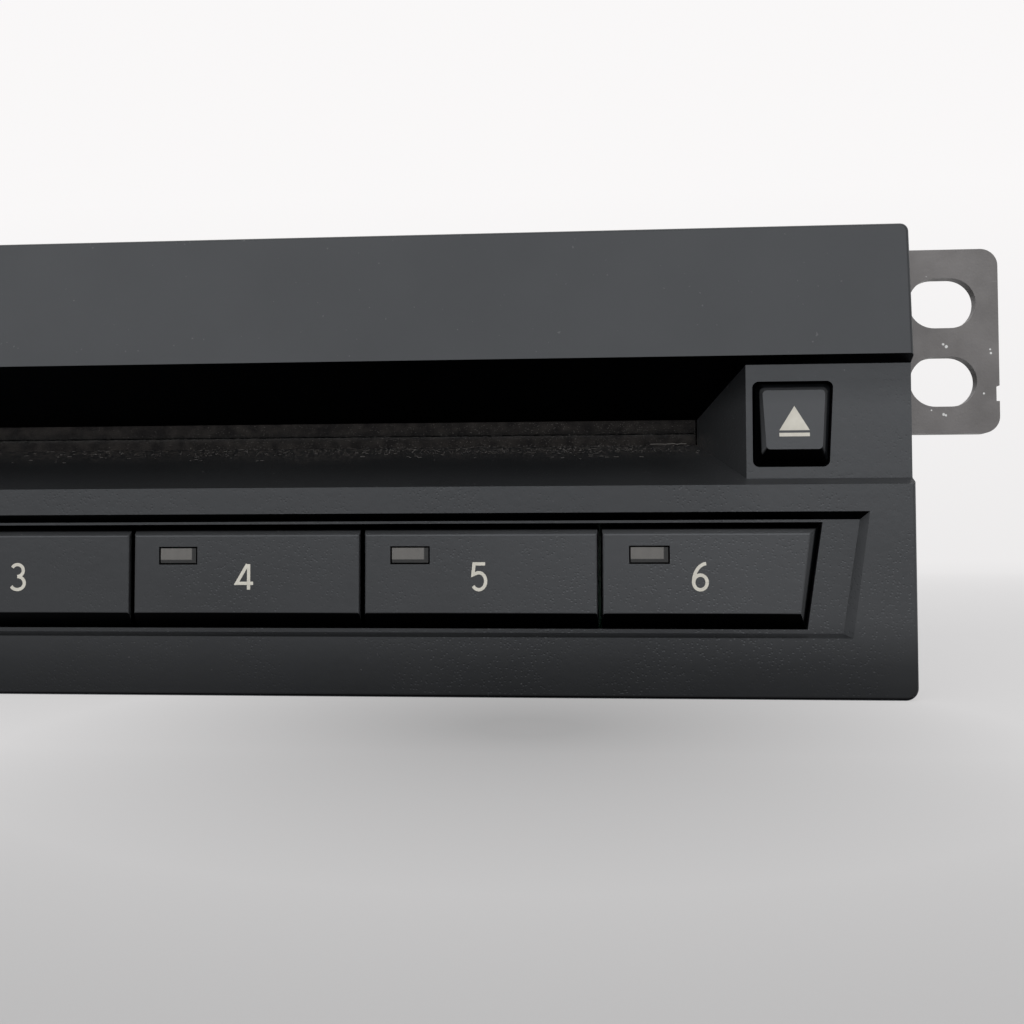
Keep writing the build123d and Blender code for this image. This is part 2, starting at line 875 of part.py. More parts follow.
def make_top_cover():
    """Lid with side lips, vent slots and a raised ring over the disc stack."""
    with BuildPart() as cover:
        with BuildSketch(floor_plane(chassis_height)):
            with Locations((0, fascia_depth + chassis_depth / 2)):
                Rectangle(chassis_width, chassis_depth)
        extrude(amount=-sheet)
        lip_x = inner_half - sheet / 2
        lip_middle = fascia_depth + chassis_depth / 2
        with BuildSketch(floor_plane(chassis_height - sheet)):
            with Locations((-lip_x, lip_middle), (lip_x, lip_middle)):
                Rectangle(sheet, chassis_depth - 2 * lip_setback)
        extrude(amount=-lip_height)
        with BuildSketch(floor_plane(chassis_height)):
            with Locations((0, disc_depth)):
                Circle(emboss_radius)
                Circle(emboss_radius - emboss_band, mode=Mode.SUBTRACT)
        extrude(amount=emboss_height, taper=emboss_slope)
        with BuildSketch(floor_plane(chassis_height)):
            with Locations((-vent_x, disc_depth + vent_offset), (vent_x, disc_depth + vent_offset)):
                with GridLocations(0, vent_pitch, 1, vent_rows):
                    SlotOverall(vent_length, vent_width)
        extrude(amount=sheet + emboss_height, both=True, mode=Mode.SUBTRACT)
        side_screw_holes(case_screw_depths, case_screw_height)
    return cover


def make_rear_panel():
    """Back plate with the connector cut-out, vents and a support stud."""
    panel_height = chassis_height - 2 * sheet
    with BuildPart() as panel:
        with BuildSketch(front_plane(chassis_back)):
            with Locations((0, sheet + panel_height / 2)):
                Rectangle(2 * inner_half, panel_height)
            with Locations((connector_x, board_top + connector_height / 2)):
                cutout = connector_height + 2 * cutout_gap
                Rectangle(connector_width + 2 * cutout_gap, cutout, mode=Mode.SUBTRACT)
            with Locations((rear_vent_x, side_vent_z)):
                with GridLocations(side_vent_pitch, 0, rear_vent_count, 1):
                    SlotOverall(side_vent_height, side_vent_length, rotation=90, mode=Mode.SUBTRACT)
        extrude(amount=sheet)
        with BuildSketch(front_plane(chassis_back)):
            with Locations((0, stud_height)):
                RegularPolygon(stud_base_radius, 6)
        extrude(amount=-stud_base_height)
        with BuildSketch(front_plane(chassis_back)):
            with Locations((0, stud_height)):
                Circle(stud_radius)
        extrude(amount=-stud_length)
        chamfer(panel.faces().sort_by(Axis.Y)[-1].edges(), stud_radius / 4)
    return panel


def make_bracket():
    """Right ear with two obround holes, folded from a leg along the side of the case."""
    with BuildPart() as bracket:
        with BuildSketch(floor_plane(ear_bottom)):
            with BuildLine():
                Polyline(
                    (chassis_half, fascia_depth),
                    (ear_outer, fascia_depth),
                    (ear_outer, fascia_depth + ear_sheet),
                    (chassis_half + ear_sheet, fascia_depth + ear_sheet),
                    (chassis_half + ear_sheet, leg_back),
                    (chassis_half, leg_back),
                    close=True,
                )
            make_face()
        extrude(amount=ear_top - ear_bottom)
        bend = bracket.edges().filter_by(Axis.Z).filter_by_position(
            Axis.X, chassis_half + ear_sheet - seat_gap, chassis_half + ear_sheet + seat_gap
        )
        fillet(bend.sort_by(Axis.Y)[0], leg_bend)
        with BuildSketch(side_plane(chassis_half)):
            start = fascia_depth + ear_sheet + leg_bend
            Polygon((start, leg_top), (leg_back, leg_top), (leg_back, ear_top), (start, ear_top))
        extrude(amount=ear_sheet, mode=Mode.SUBTRACT)
        corners = bracket.edges().filter_by(Axis.Y).group_by(Axis.X)[-1]
        fillet(corners, ear_corner)
        with BuildSketch(front_plane(fascia_depth)):
            with Locations((ear_slot_x, ear_slot_z)):
                with GridLocations(0, ear_slot_pitch, 1, 2):
                    SlotOverall(ear_slot_length, ear_slot_width)
            with Locations((ear_outer, ear_bottom + ear_notch_rise)):
                Rectangle(2 * ear_notch_depth, ear_notch_height)
        cut_back(ear_sheet)
        side_screw_holes(bracket_screw_depths, bracket_screw_height)
    return bracket


def make_left_bracket(right):
    """Left ear: the right ear's mirror image."""
    with BuildPart() as bracket:
        mirror(right.part, about=Plane.YZ)
    return bracket


def make_side_screws(depths, height, head_x, inner_x):
    """Pan-head screws on both sides, whose shanks end just inside the sheet."""
    with BuildPart() as screws:
        with BuildSketch(side_plane(inner_x - screw_reach)):
            with Locations(*[(depth, height) for depth in depths]):
                Circle(screw_radius)
        extrude(amount=head_x - inner_x + screw_reach)
        with BuildSketch(side_plane(head_x)) as heads:
            with Locations(*[(depth, height) for depth in depths]):
                Circle(screw_head_radius)
        extrude(amount=screw_head_height)
        outer = screws.faces().group_by(Axis.X)[-1]
        fillet(outer.edges(), screw_head_height / 2)
        with BuildSketch(side_plane(head_x + screw_head_height)):
            with Locations(*[(depth, height) for depth in depths]):
                Rectangle(drive_length, drive_width)
                Rectangle(drive_width, drive_length)
        extrude(amount=-drive_depth, mode=Mode.SUBTRACT)
        mirror(about=Plane.YZ)
    return screws


def make_main_board():
    """Main circuit board on the floor of the case."""
    with BuildPart() as board:
        with BuildSketch(floor_plane(main_board_height)):
            length = deck_back - main_board_front
            with Locations((0, main_board_front + length / 2)):
                RectangleRounded(2 * main_board_half, length, main_board_corner)
        extrude(amount=main_board_thickness)
    return board


def make_board_chips():
    """Chips on the main board."""
    with BuildPart() as parts:
        for x, depth, length, width, height in chips:
            with BuildSketch(floor_plane(board_top)):
                with Locations((x, depth)):
                    Rectangle(length, width)
            extrude(amount=height)
    return parts


def make_power_connector():
    """Socket on the board that comes out through the back plate, with two rows of pins."""
    connector_back = chassis_back + connector_outside
    back = front_plane(connector_back)
    middle = (connector_x, board_top + connector_height / 2)
    with BuildPart() as connector:
        with BuildSketch(back):
            with Locations(middle):
                Rectangle(connector_width, connector_height)
        extrude(amount=connector_outside + connector_inside)
        with BuildSketch(back):
            with Locations(middle):
                hollow = connector_height - 2 * connector_wall
                Rectangle(connector_width - 2 * connector_wall, hollow)
        extrude(amount=connector_cavity, mode=Mode.SUBTRACT)
        with BuildSketch(front_plane(connector_back - connector_cavity)):
            with Locations(middle):
                with GridLocations(connector_pin_pitch, connector_row_pitch, connector_pin_columns, 2):
                    Rectangle(connector_pin, connector_pin)
        extrude(amount=-connector_cavity + connector_wall)
    return connector


def make_ribbon_cable():
    """Flat cable from the button board to the main board."""
    start = button_board_depth + board_thickness
    with BuildPart() as ribbon:
        with BuildSketch(side_plane(ribbon_x)):
            Polygon(
                (start, ribbon_height),
                (ribbon_fold, ribbon_height),
                (ribbon_fold, board_top),
                (ribbon_end, board_top),
                (ribbon_end, board_top + ribbon_thickness),
                (ribbon_fold + ribbon_thickness, board_top + ribbon_thickness),
                (ribbon_fold + ribbon_thickness, ribbon_height + ribbon_thickness),
                (start, ribbon_height + ribbon_thickness),
            )
        extrude(amount=ribbon_width)
    return ribbon


def make_mechanism_plate():
    """Floating deck plate with bearing holes for the lift screws."""
    with BuildPart() as plate:
        with BuildSketch(floor_plane(deck_height)):
            with Locations((0, (deck_front + deck_back) / 2)):
                Rectangle(2 * deck_half, deck_back - deck_front)
            with Locations((deck_notch_x, deck_back - deck_notch_length)):
                Rectangle(deck_half, deck_half, align=(Align.MIN, Align.MIN), mode=Mode.SUBTRACT)
            with Locations(*screw_places.values()):
                Circle(lift_screw_radius + run, mode=Mode.SUBTRACT)
            with Locations((0, disc_depth)):
                with GridLocations(0, deck_slot_pitch, 1, 3):
                    SlotOverall(deck_slot_length, deck_slot_width, mode=Mode.SUBTRACT)
        extrude(amount=deck_sheet)
    return plate


def make_damper_bushes():
    """Waisted rubber feet between the case floor and the mechanism plate."""
    waist = (damper_radius - damper_waist) / 2
    height = deck_height - sheet
    with BuildPart() as dampers:
        for x in (-damper_x, damper_x):
            for depth in damper_depths:
                with BuildSketch(Plane(origin=(x, front_y + depth, sheet), x_dir=(1, 0, 0), z_dir=(0, -1, 0))):
                    with BuildLine():
                        Line((0, 0), (damper_radius, 0))
                        middle = (damper_waist + waist / 2, height / 2)
                        ThreePointArc((damper_radius, 0), middle, (damper_radius, height))
                        Line((damper_radius, height), (0, height))
                        Line((0, height), (0, 0))
                    make_face()
                revolve(axis=Axis((x, front_y + depth, 0), (0, 0, 1)))
    return dampers


def involute(angle):
    """Involute function."""
    return tan(angle) - angle


def gear_points(teeth, phase):
    """Outline of a spur gear with one tooth centred at the phase angle."""
    pitch = gear_module * teeth / 2
    base = pitch * cos(gear_pressure)
    root = pitch - gear_dedendum * gear_module
    tip = pitch + gear_addendum * gear_module
    radii = [root, max(base, root), pitch, (pitch + tip) / 2, tip]
    widest = pi / (2 * teeth) + involute(gear_pressure) - gear_backlash / (2 * pitch)
    halves = [widest - involute(acos(min(1, base / radius))) for radius in radii]
    flank = list(zip(radii, halves))
    points = []
    for tooth in range(teeth):
        middle = radians(phase) + 2 * pi * tooth / teeth
        points += [(r * cos(middle - h), r * sin(middle - h)) for r, h in flank]
        points += [(r * cos(middle + h), r * sin(middle + h)) for r, h in reversed(flank)]
    return points


def mating_phase(phase, teeth, mate_teeth, direction):
    """Phase of a gear whose gap meets a tooth of the gear that drives it."""
    step = 360 / teeth
    lead = (phase - direction + step / 2) % step - step / 2
    gap = direction + 180 - lead * teeth / mate_teeth
    return gap + 180 / mate_teeth


def make_gear(teeth, phase, depth, height, bore):
    """Spur gear on the outside of the right bracket plate."""
    with BuildPart() as gear:
        with BuildSketch(side_plane(gear_x)):
            with Locations((depth, height)):
                Polygon(*gear_points(teeth, phase))
                Circle(bore, mode=Mode.SUBTRACT)
        extrude(amount=gear_width)
    return gear


def make_roller_bracket():
    """Frame of the loading roller: two side plates on a cross strip, with the idler's pin."""
    outer = bracket_inner + bracket_sheet
    with BuildPart() as bracket:
        with BuildSketch(floor_plane(deck_top)):
            with Locations((0, roller_depth + (base_back_reach - base_front_reach) / 2)):
                Rectangle(2 * outer, base_front_reach + base_back_reach)
        extrude(amount=bracket_sheet)
        for start, back in ((-outer, bracket_left_back), (bracket_inner, bracket_right_back)):
            with BuildSketch(side_plane(start)):
                bracket_profile(back)
            extrude(amount=bracket_sheet)
        with BuildSketch(side_plane(-fascia_width)):
            with Locations((roller_depth, roller_height)):
                Circle(roller_shaft_radius + run)
            with Locations((shutter_depth, shutter_height)):
                Circle(shutter_pin_radius + run)
            with Locations((pinion_depth, idler_height)):
                Circle(motor_boss_radius + run)
        extrude(amount=2 * fascia_width, mode=Mode.SUBTRACT)
        with BuildSketch(side_plane(outer)):
            with Locations((idler_depth, idler_height)):
                Circle(idler_pin_radius)
        extrude(amount=2 * gear_gap + gear_width)
    return bracket


def bracket_profile(back):
    """Side view of a bracket plate, which steps down behind the disc guide."""
    shoulder = min(back, bracket_left_back)
    low_top = idler_height + load_motor_radius + bracket_sheet
    if back > shoulder:
        Polygon(
            (bracket_front, deck_top),
            (back, deck_top),
            (back, low_top),
            (shoulder, low_top),
            (shoulder, bracket_top),
            (bracket_front, bracket_top),
        )
    else:
        Polygon(
            (bracket_front, deck_top),
            (back, deck_top),
            (back, bracket_top),
            (bracket_front, bracket_top),
        )


def make_roller_shaft():
    """Steel shaft through both bracket plates and the roller's gear."""
    length = bracket_inner + bracket_sheet + 2 * gear_gap
    with BuildPart() as shaft:
        with BuildSketch(side_plane(-length)):
            with Locations((roller_depth, roller_height)):
                Circle(roller_shaft_radius)
        extrude(amount=2 * length + gear_width)
    return shaft


def make_roller_sleeves():
    """Two rubber cones that grip only the edges of a disc."""
    axis_y = front_y + roller_depth
    with BuildPart() as sleeves:
        with BuildSketch(Plane(origin=(0, axis_y, roller_height), x_dir=(1, 0, 0), z_dir=(0, -1, 0))):
            Polygon(
                (roller_inner, roller_shaft_radius),
                (roller_outer, roller_shaft_radius),
                (roller_outer, roller_end_radius),
                (roller_inner, roller_waist_radius),
            )
            mirror(about=Plane.YZ)
        revolve(axis=Axis((0, axis_y, roller_height), (1, 0, 0)))
    return sleeves


def make_disc_guide():
    """Slide plate over the roller, stiffened by ribs."""
    with BuildPart() as guide:
        middle = roller_depth + (guide_back_reach - guide_front_reach) / 2
        depth = guide_front_reach + guide_back_reach
        with BuildSketch(floor_plane(guide_plate_bottom)):
            with Locations((0, middle)):
                Rectangle(2 * bracket_inner, depth)
        extrude(amount=guide_plate_thickness)
        with BuildSketch(floor_plane(guide_plate_bottom + guide_plate_thickness)):
            with Locations((0, middle)):
                with GridLocations(guide_rib_pitch, 0, guide_rib_count, 1):
                    Rectangle(guide_rib_width, depth)
        extrude(amount=guide_rib_height)
    return guide


def make_load_motor():
    """Loading motor against the inside of the right bracket plate."""
    with BuildPart() as motor:
        with BuildSketch(side_plane(bracket_inner)):
            with Locations((pinion_depth, idler_height)):
                Circle(load_motor_radius)
        extrude(amount=-load_motor_length)
        with BuildSketch(side_plane(bracket_inner)):
            with Locations((pinion_depth, idler_height)):
                Circle(motor_boss_radius)
        extrude(amount=bracket_sheet)
        with BuildSketch(side_plane(bracket_inner + bracket_sheet)):
            with Locations((pinion_depth, idler_height)):
                Circle(motor_shaft_radius + run)
        extrude(amount=-bracket_sheet - motor_shaft_reach, mode=Mode.SUBTRACT)
    return motor


def make_motor_pinion(phase):
    """Pinion with the motor shaft that carries it."""
    reach = motor_shaft_reach + bracket_sheet + gear_gap - run
    with BuildPart() as pinion:
        with BuildSketch(side_plane(gear_x)):
            with Locations((pinion_depth, idler_height)):
                Polygon(*gear_points(pinion_teeth, phase))
        extrude(amount=gear_width)
        with BuildSketch(side_plane(gear_x)):
            with Locations((pinion_depth, idler_height)):
                Circle(motor_shaft_radius)
        extrude(amount=-reach)
    return pinion


def make_slot_shutter():
    """Dust flap that hangs behind the slot on two pins."""
    with BuildPart() as shutter:
        with BuildSketch(side_plane(-shutter_half)):
            with Locations((shutter_depth, shutter_height)):
                Circle(shutter_barrel)
            with Locations((shutter_depth, (shutter_height + shutter_bottom) / 2)):
                Rectangle(shutter_thickness, shutter_height - shutter_bottom)
        extrude(amount=2 * shutter_half)
        pin_end = bracket_inner + bracket_sheet
        with BuildSketch(side_plane(-pin_end)):
            with Locations((shutter_depth, shutter_height)):
                Circle(shutter_pin_radius)
        extrude(amount=2 * pin_end)
    return shutter


def make_tray(height):
    """Disc carrier with a shallow recess, a tab on each lift screw and room for the parked deck."""
    with BuildPart() as tray:
        with BuildSketch(floor_plane(height)):
            with Locations((0, (tray_front + tray_back) / 2)):
                Rectangle(2 * tray_half, tray_back - tray_front)
            with Locations(*screw_places.values()):
                Circle(tray_tab_radius)
            with Locations(*screw_places.values()):
                Circle(lift_screw_radius + lift_screw_clearance, mode=Mode.SUBTRACT)
            with Locations((0, disc_depth)):
                Circle(tray_hub_radius, mode=Mode.SUBTRACT)
                with PolarLocations(disc_radius / 2, 3, start_angle=90):
                    SlotOverall(tray_finger_length, tray_finger_width, mode=Mode.SUBTRACT)
        extrude(amount=tray_thickness)
        with BuildSketch(floor_plane(height + tray_thickness - tray_recess)):
            with Locations((0, disc_depth)):
                Circle(disc_radius + disc_clearance)
        extrude(amount=tray_recess, mode=Mode.SUBTRACT)
        with BuildSketch(arm_plane(height)):
            Circle(arm_pivot_radius + deck_margin)
            with Locations((arm_length, 0)):
                Circle(arm_tip_radius + deck_margin)
            make_hull()
        extrude(amount=tray_thickness, mode=Mode.SUBTRACT)
    return tray


def tray_height(index):
    """Height of one tray while the stack is open; the lower half comes first."""
    half = tray_count // 2
    if index < half:
        return lower_tray_height + index * tray_pitch
    return upper_tray_height + (index - half) * tray_pitch


def make_lift_screw(place):
    """Lift screw with its belt pulley."""
    with BuildPart() as screw:
        with BuildSketch(floor_plane(deck_height)):
            with Locations(place):
                Circle(lift_screw_radius)
        extrude(amount=lift_screw_top - deck_height)
        with BuildSketch(floor_plane(pulley_height)):
            with Locations(place):
                Circle(pulley_radius)
        extrude(amount=pulley_width)
        chamfer(screw.faces().sort_by(Axis.Z)[-1].edges(), lift_screw_radius / 6)
    return screw


def belt_hull(extra):
    """Outline round the four screw pulleys and the motor pulley."""
    with Locations(*screw_places.values()):
        Circle(pulley_radius + extra)
    with Locations(lift_motor_place):
        Circle(lift_pulley_radius + extra)
    make_hull()


def make_lift_belt():
    """Belt round the four screw pulleys and the motor pulley."""
    with BuildPart() as belt:
        with BuildSketch(floor_plane(pulley_height + belt_inset)):
            belt_hull(run + belt_thickness)
        extrude(amount=pulley_width - 2 * belt_inset)
        with BuildSketch(floor_plane(pulley_height + belt_inset)):
            belt_hull(run)
        extrude(amount=pulley_width, mode=Mode.SUBTRACT)
    return belt


def make_lift_motor():
    """Lift motor that stands over its pulley on a foot inside the belt."""
    bottom = pulley_height + pulley_width + lift_motor_gap
    with BuildPart() as motor:
        with BuildSketch(floor_plane(bottom)):
            with Locations(lift_motor_place):
                Circle(lift_motor_radius)
        extrude(amount=lift_motor_height)
        with BuildSketch(floor_plane(deck_top)):
            with Locations((lift_motor_place[0], lift_foot_depth)):
                Rectangle(*lift_foot)
        extrude(amount=bottom - deck_top)
        with BuildSketch(floor_plane(bottom)):
            with Locations((lift_motor_place[0], lift_foot_depth + lift_foot_shift)):
                Rectangle(*lift_foot)
        extrude(amount=deck_sheet)
        with BuildSketch(floor_plane(bottom)):
            with Locations(lift_motor_place):
                Circle(motor_shaft_radius + run)
        extrude(amount=motor_shaft_reach, mode=Mode.SUBTRACT)
    return motor


def make_lift_pulley():
    """Motor pulley of the lift, on the motor's shaft."""
    with BuildPart() as pulley:
        with BuildSketch(floor_plane(pulley_height)):
            with Locations(lift_motor_place):
                Circle(lift_pulley_radius)
        extrude(amount=pulley_width)
        with BuildSketch(floor_plane(pulley_height)):
            with Locations(lift_motor_place):
                Circle(motor_shaft_radius)
        extrude(amount=pulley_width + lift_motor_gap + motor_shaft_reach - run)
    return pulley


def make_deck_pivot_post():
    """Shouldered post that carries the playback deck."""
    with BuildPart() as post:
        add_post(pivot_base_radius, deck_top, deck_top + pivot_base_height)
        add_post(pivot_shoulder_radius, deck_top, arm_height - run)
        add_post(pivot_post_radius, deck_top, pivot_top)
        ring = clamp_height + clamp_sheet + 2 * run
        add_post(pivot_ring_radius, ring, ring + pivot_ring_height)
    return post


def add_post(radius, low, high):
    """Cylinder about the pivot of the playback deck."""
    with BuildSketch(arm_plane(low)) as section:
        Circle(radius)
    extrude(section.sketch, amount=high - low)


def make_swing_arm():
    """Lower arm of the playback deck, with its pivot sleeve and the posts of the rail."""
    with BuildPart() as arm:
        with BuildSketch(arm_plane(arm_height)):
            Circle(arm_pivot_radius)
            with Locations((arm_length, 0)):
                Circle(arm_tip_radius)
            make_hull()
        extrude(amount=arm_sheet)
        with BuildSketch(arm_plane(arm_top)):
            Circle(arm_sleeve_radius)
        extrude(amount=clamp_height - arm_top)
        with BuildSketch(arm_plane(arm_top)):
            with Locations(*rail_post_places()):
                Rectangle(rail_post, rail_post_width)
        extrude(amount=rail_height + 2 * rail_radius - arm_top)
        with BuildSketch(arm_plane(arm_height)):
            Circle(pivot_post_radius + run)
        extrude(amount=clamp_height - arm_height, mode=Mode.SUBTRACT)
    return arm


def rail_post_places():
    """Middles of the rail's two posts and of the lead screw's end post."""
    back, front = rail_back + rail_post / 2, rail_front - rail_post / 2
    return ((back, rail_offset), (front, rail_offset), (front, -rail_offset))


def make_clamp_arm():
    """Upper arm of the playback deck, which carries the clamp puck."""
    with BuildPart() as arm:
        with BuildSketch(arm_plane(clamp_height)):
            Circle(clamp_radius)
            with Locations((arm_length, 0)):
                Circle(clamp_radius)
            make_hull()
            Circle(pivot_post_radius + run, mode=Mode.SUBTRACT)
            with Locations((arm_length, 0)):
                Circle(puck_axle_radius + run, mode=Mode.SUBTRACT)
        extrude(amount=clamp_sheet)
    return arm


def add_spindle_disc(radius, low, high, mode=Mode.ADD):
    """Cylinder about the spindle of the playback deck."""
    with BuildSketch(arm_plane(low)) as section:
        with Locations((arm_length, 0)):
            Circle(radius)
    extrude(section.sketch, amount=high - low, mode=mode)


def make_spindle_motor():
    """Flat motor under the turntable."""
    with BuildPart() as motor:
        add_spindle_disc(spindle_motor_radius, arm_top, arm_top + spindle_motor_height)
        low = arm_top + arm_sheet
        add_spindle_disc(spindle_radius + run, low, turntable_height, Mode.SUBTRACT)
    return motor


def make_turntable():
    """Turntable with its centring hub and the motor's spindle."""
    with BuildPart() as turntable:
        top = turntable_height + turntable_thickness
        add_spindle_disc(turntable_radius, turntable_height, top)
        add_spindle_disc(turntable_hub_radius, top, top + turntable_hub_height)
        chamfer(turntable.faces().sort_by(Axis.Z)[-1].edges(), turntable_hub_height / 2)
        add_spindle_disc(spindle_radius, arm_top + arm_sheet + run, turntable_height)
    return turntable


def make_clamp_puck():
    """Puck that holds a disc down, on an axle in the clamp arm."""
    with BuildPart() as puck:
        add_spindle_disc(puck_radius, puck_height, puck_height + puck_thickness)
        chamfer(puck.faces().sort_by(Axis.Z)[-1].edges(), puck_thickness / 4)
        add_spindle_disc(puck_axle_radius, puck_height + puck_thickness, pivot_top)
    return puck


def arm_section(distance):
    """Plane across the playback deck at a distance from its pivot; local axes are sideways and up."""
    along = Vector(cos(parked_angle), -sin(parked_angle), 0)
    origin = Vector(pivot_x, front_y + pivot_depth, 0) + along * distance
    return Plane(origin=origin, x_dir=(sin(parked_angle), cos(parked_angle), 0), z_dir=along)


def add_rail(radius, side, start, end, mode=Mode.ADD):
    """Rod along the playback deck."""
    with BuildSketch(arm_section(start)) as section:
        with Locations((side, rail_height)):
            Circle(radius)
    extrude(section.sketch, amount=end - start, mode=mode)


def make_sled_rods():
    """Guide rod of the pickup between its two posts."""
    with BuildPart() as rods:
        add_rail(rail_radius, rail_offset, rail_back + rail_post, rail_front - rail_post)
    return rods


def make_sled_motor():
    """Small motor that turns the pickup's lead screw."""
    with BuildPart() as motor:
        add_rail(sled_motor_radius, -rail_offset, rail_back - sled_motor_length, rail_back)
        hole = rail_radius + run
        add_rail(hole, -rail_offset, rail_back - motor_shaft_reach, rail_back, Mode.SUBTRACT)
    return motor


def make_pickup_screw():
    """Lead screw of the pickup, with its shaft in the motor."""
    with BuildPart() as screw:
        add_rail(lead_screw_radius, -rail_offset, rail_back + run, rail_front - rail_post - run)
        add_rail(rail_radius, -rail_offset, rail_back - motor_shaft_reach + run, rail_front - rail_post - run)
    return screw


def make_pickup():
    """Optical pickup that runs on the rod and the lead screw, with its lens."""
    low, high = pickup_place - pickup_length / 2, pickup_place + pickup_length / 2
    with BuildPart() as pickup:
        with BuildSketch(arm_plane(pickup_bottom)):
            with Locations((pickup_place, 0)):
                Rectangle(pickup_length, pickup_width)
        extrude(amount=pickup_top - pickup_bottom)
        fillet(pickup.edges().filter_by(Axis.Z), pickup_lens_height)
        with BuildSketch(arm_plane(pickup_top)):
            with Locations((pickup_place + pickup_lens_offset, 0)):
                Circle(pickup_lens_radius)
        extrude(amount=pickup_lens_height)
        add_rail(rail_radius + run, rail_offset, low, high, Mode.SUBTRACT)
        add_rail(lead_screw_radius + 2 * run, -rail_offset, low, high, Mode.SUBTRACT)
    return pickup


def loading_phases():
    """Phases that mesh the roller gear, the idler and the pinion."""
    roller = idler_slope
    idler = mating_phase(roller, roller_teeth, idler_teeth, idler_slope)
    pinion = mating_phase(idler, idler_teeth, pinion_teeth, 0)
    return roller, idler, pinion


roller_phase, idler_phase, pinion_phase = loading_phases()
eject_button = make_eject_button()
right_bracket = make_bracket()
bracket_head = chassis_half + ear_sheet
pieces = {
    "fascia": make_fascia(),
    "slot_felt_upper": make_felt(slot_top - felt_thickness),
    "slot_felt_lower": make_felt(slot_bottom),
    "eject_button": eject_button,
    "load_button": make_load_button(eject_button),
    "button_board": make_button_board(),
    "tact_switches": make_tact_switches(),
    "indicator_leds": make_indicator_leds(),
    "light_guides": make_light_guides(),
    "bottom_chassis": make_bottom_chassis(),
    "top_cover": make_top_cover(),
    "rear_panel": make_rear_panel(),
    "mounting_bracket_right": right_bracket,
    "mounting_bracket_left": make_left_bracket(right_bracket),
    "bracket_screws": make_side_screws(
        bracket_screw_depths, bracket_screw_height, bracket_head, chassis_half - sheet
    ),
    "case_screws": make_side_screws(
        case_screw_depths, case_screw_height, chassis_half, chassis_half - 2 * sheet
    ),
    "main_board": make_main_board(),
    "board_chips": make_board_chips(),
    "power_connector": make_power_connector(),
    "ribbon_cable": make_ribbon_cable(),
    "mechanism_plate": make_mechanism_plate(),
    "damper_bushes": make_damper_bushes(),
    "roller_bracket": make_roller_bracket(),
    "roller_shaft": make_roller_shaft(),
    "roller_sleeves": make_roller_sleeves(),
    "roller_gear": make_gear(roller_teeth, roller_phase, roller_depth, roller_height, roller_shaft_radius),
    "idler_gear": make_gear(idler_teeth, idler_phase, idler_depth, idler_height, idler_pin_radius + run),
    "motor_pinion": make_motor_pinion(pinion_phase),
    "load_motor": make_load_motor(),
    "disc_guide": make_disc_guide(),
    "slot_shutter": make_slot_shutter(),
    "lift_belt": make_lift_belt(),
    "lift_motor": make_lift_motor(),
    "lift_pulley": make_lift_pulley(),
    "deck_pivot_post": make_deck_pivot_post(),
    "swing_arm": make_swing_arm(),
    "clamp_arm": make_clamp_arm(),
    "spindle_motor": make_spindle_motor(),
    "turntable": make_turntable(),
    "clamp_puck": make_clamp_puck(),
    "sled_rods": make_sled_rods(),
    "sled_motor": make_sled_motor(),
    "pickup_screw": make_pickup_screw(),
    "pickup": make_pickup(),
}
for number in range(key_count):
    pieces[f"key_{number + 1}"] = make_key(number)
for number in range(tray_count):
    pieces[f"tray_{number + 1}"] = make_tray(tray_height(number))
for corner, place in screw_places.items():
    pieces[f"lift_screw_{corner}"] = make_lift_screw(place)

os.makedirs("parts", exist_ok=True)
for name, piece in pieces.items():
    piece.part.label = name
    export_step(piece.part, f"parts/{name}.step")
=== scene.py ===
import json
import math
import random

import bpy
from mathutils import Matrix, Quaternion, Vector


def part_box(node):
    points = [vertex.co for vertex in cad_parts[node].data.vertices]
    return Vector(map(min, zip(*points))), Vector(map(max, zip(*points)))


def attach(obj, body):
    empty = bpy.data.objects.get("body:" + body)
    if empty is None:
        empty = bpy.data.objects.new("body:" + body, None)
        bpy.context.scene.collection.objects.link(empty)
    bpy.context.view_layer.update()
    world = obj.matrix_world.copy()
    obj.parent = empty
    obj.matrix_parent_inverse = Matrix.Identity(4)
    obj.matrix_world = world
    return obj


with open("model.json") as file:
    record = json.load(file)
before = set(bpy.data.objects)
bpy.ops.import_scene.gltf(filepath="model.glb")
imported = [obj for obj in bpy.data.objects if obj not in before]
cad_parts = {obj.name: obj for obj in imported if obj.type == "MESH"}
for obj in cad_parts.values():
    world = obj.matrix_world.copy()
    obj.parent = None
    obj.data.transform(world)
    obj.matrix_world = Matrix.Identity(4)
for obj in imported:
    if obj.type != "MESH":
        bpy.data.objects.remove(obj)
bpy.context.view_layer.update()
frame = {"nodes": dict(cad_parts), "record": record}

MM = 0.001
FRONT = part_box("fascia")[0].y
NODES = frame["nodes"]

# Slot, and the ramp that rises to it
SLOT_HALF = 70.4 * MM
SLOT_LOW = 31.3 * MM
SLOT_HIGH = 34.6 * MM
RAMP_FOOT_Z = 25.5 * MM
RAMP_SLOPE = 0.552

# Nap of the felt strips
NAP_DEPTH = 10.5 * MM
NAP_STEP = 0.3 * MM
NAP_MEET_Z = 32.8 * MM
NAP_LIP_GAP = (0.03 * MM, 0.12 * MM)
NAP_SWELL = 0.05 * MM
NAP_ROOT_DEPTH = 0.1 * MM
NAP_ROOT_RISE = 0.02 * MM
NAP_BELLY = 0.12 * MM
NAP_TAIL_DEPTH = 0.9 * MM
NAP_TAIL_DROP = 0.35 * MM

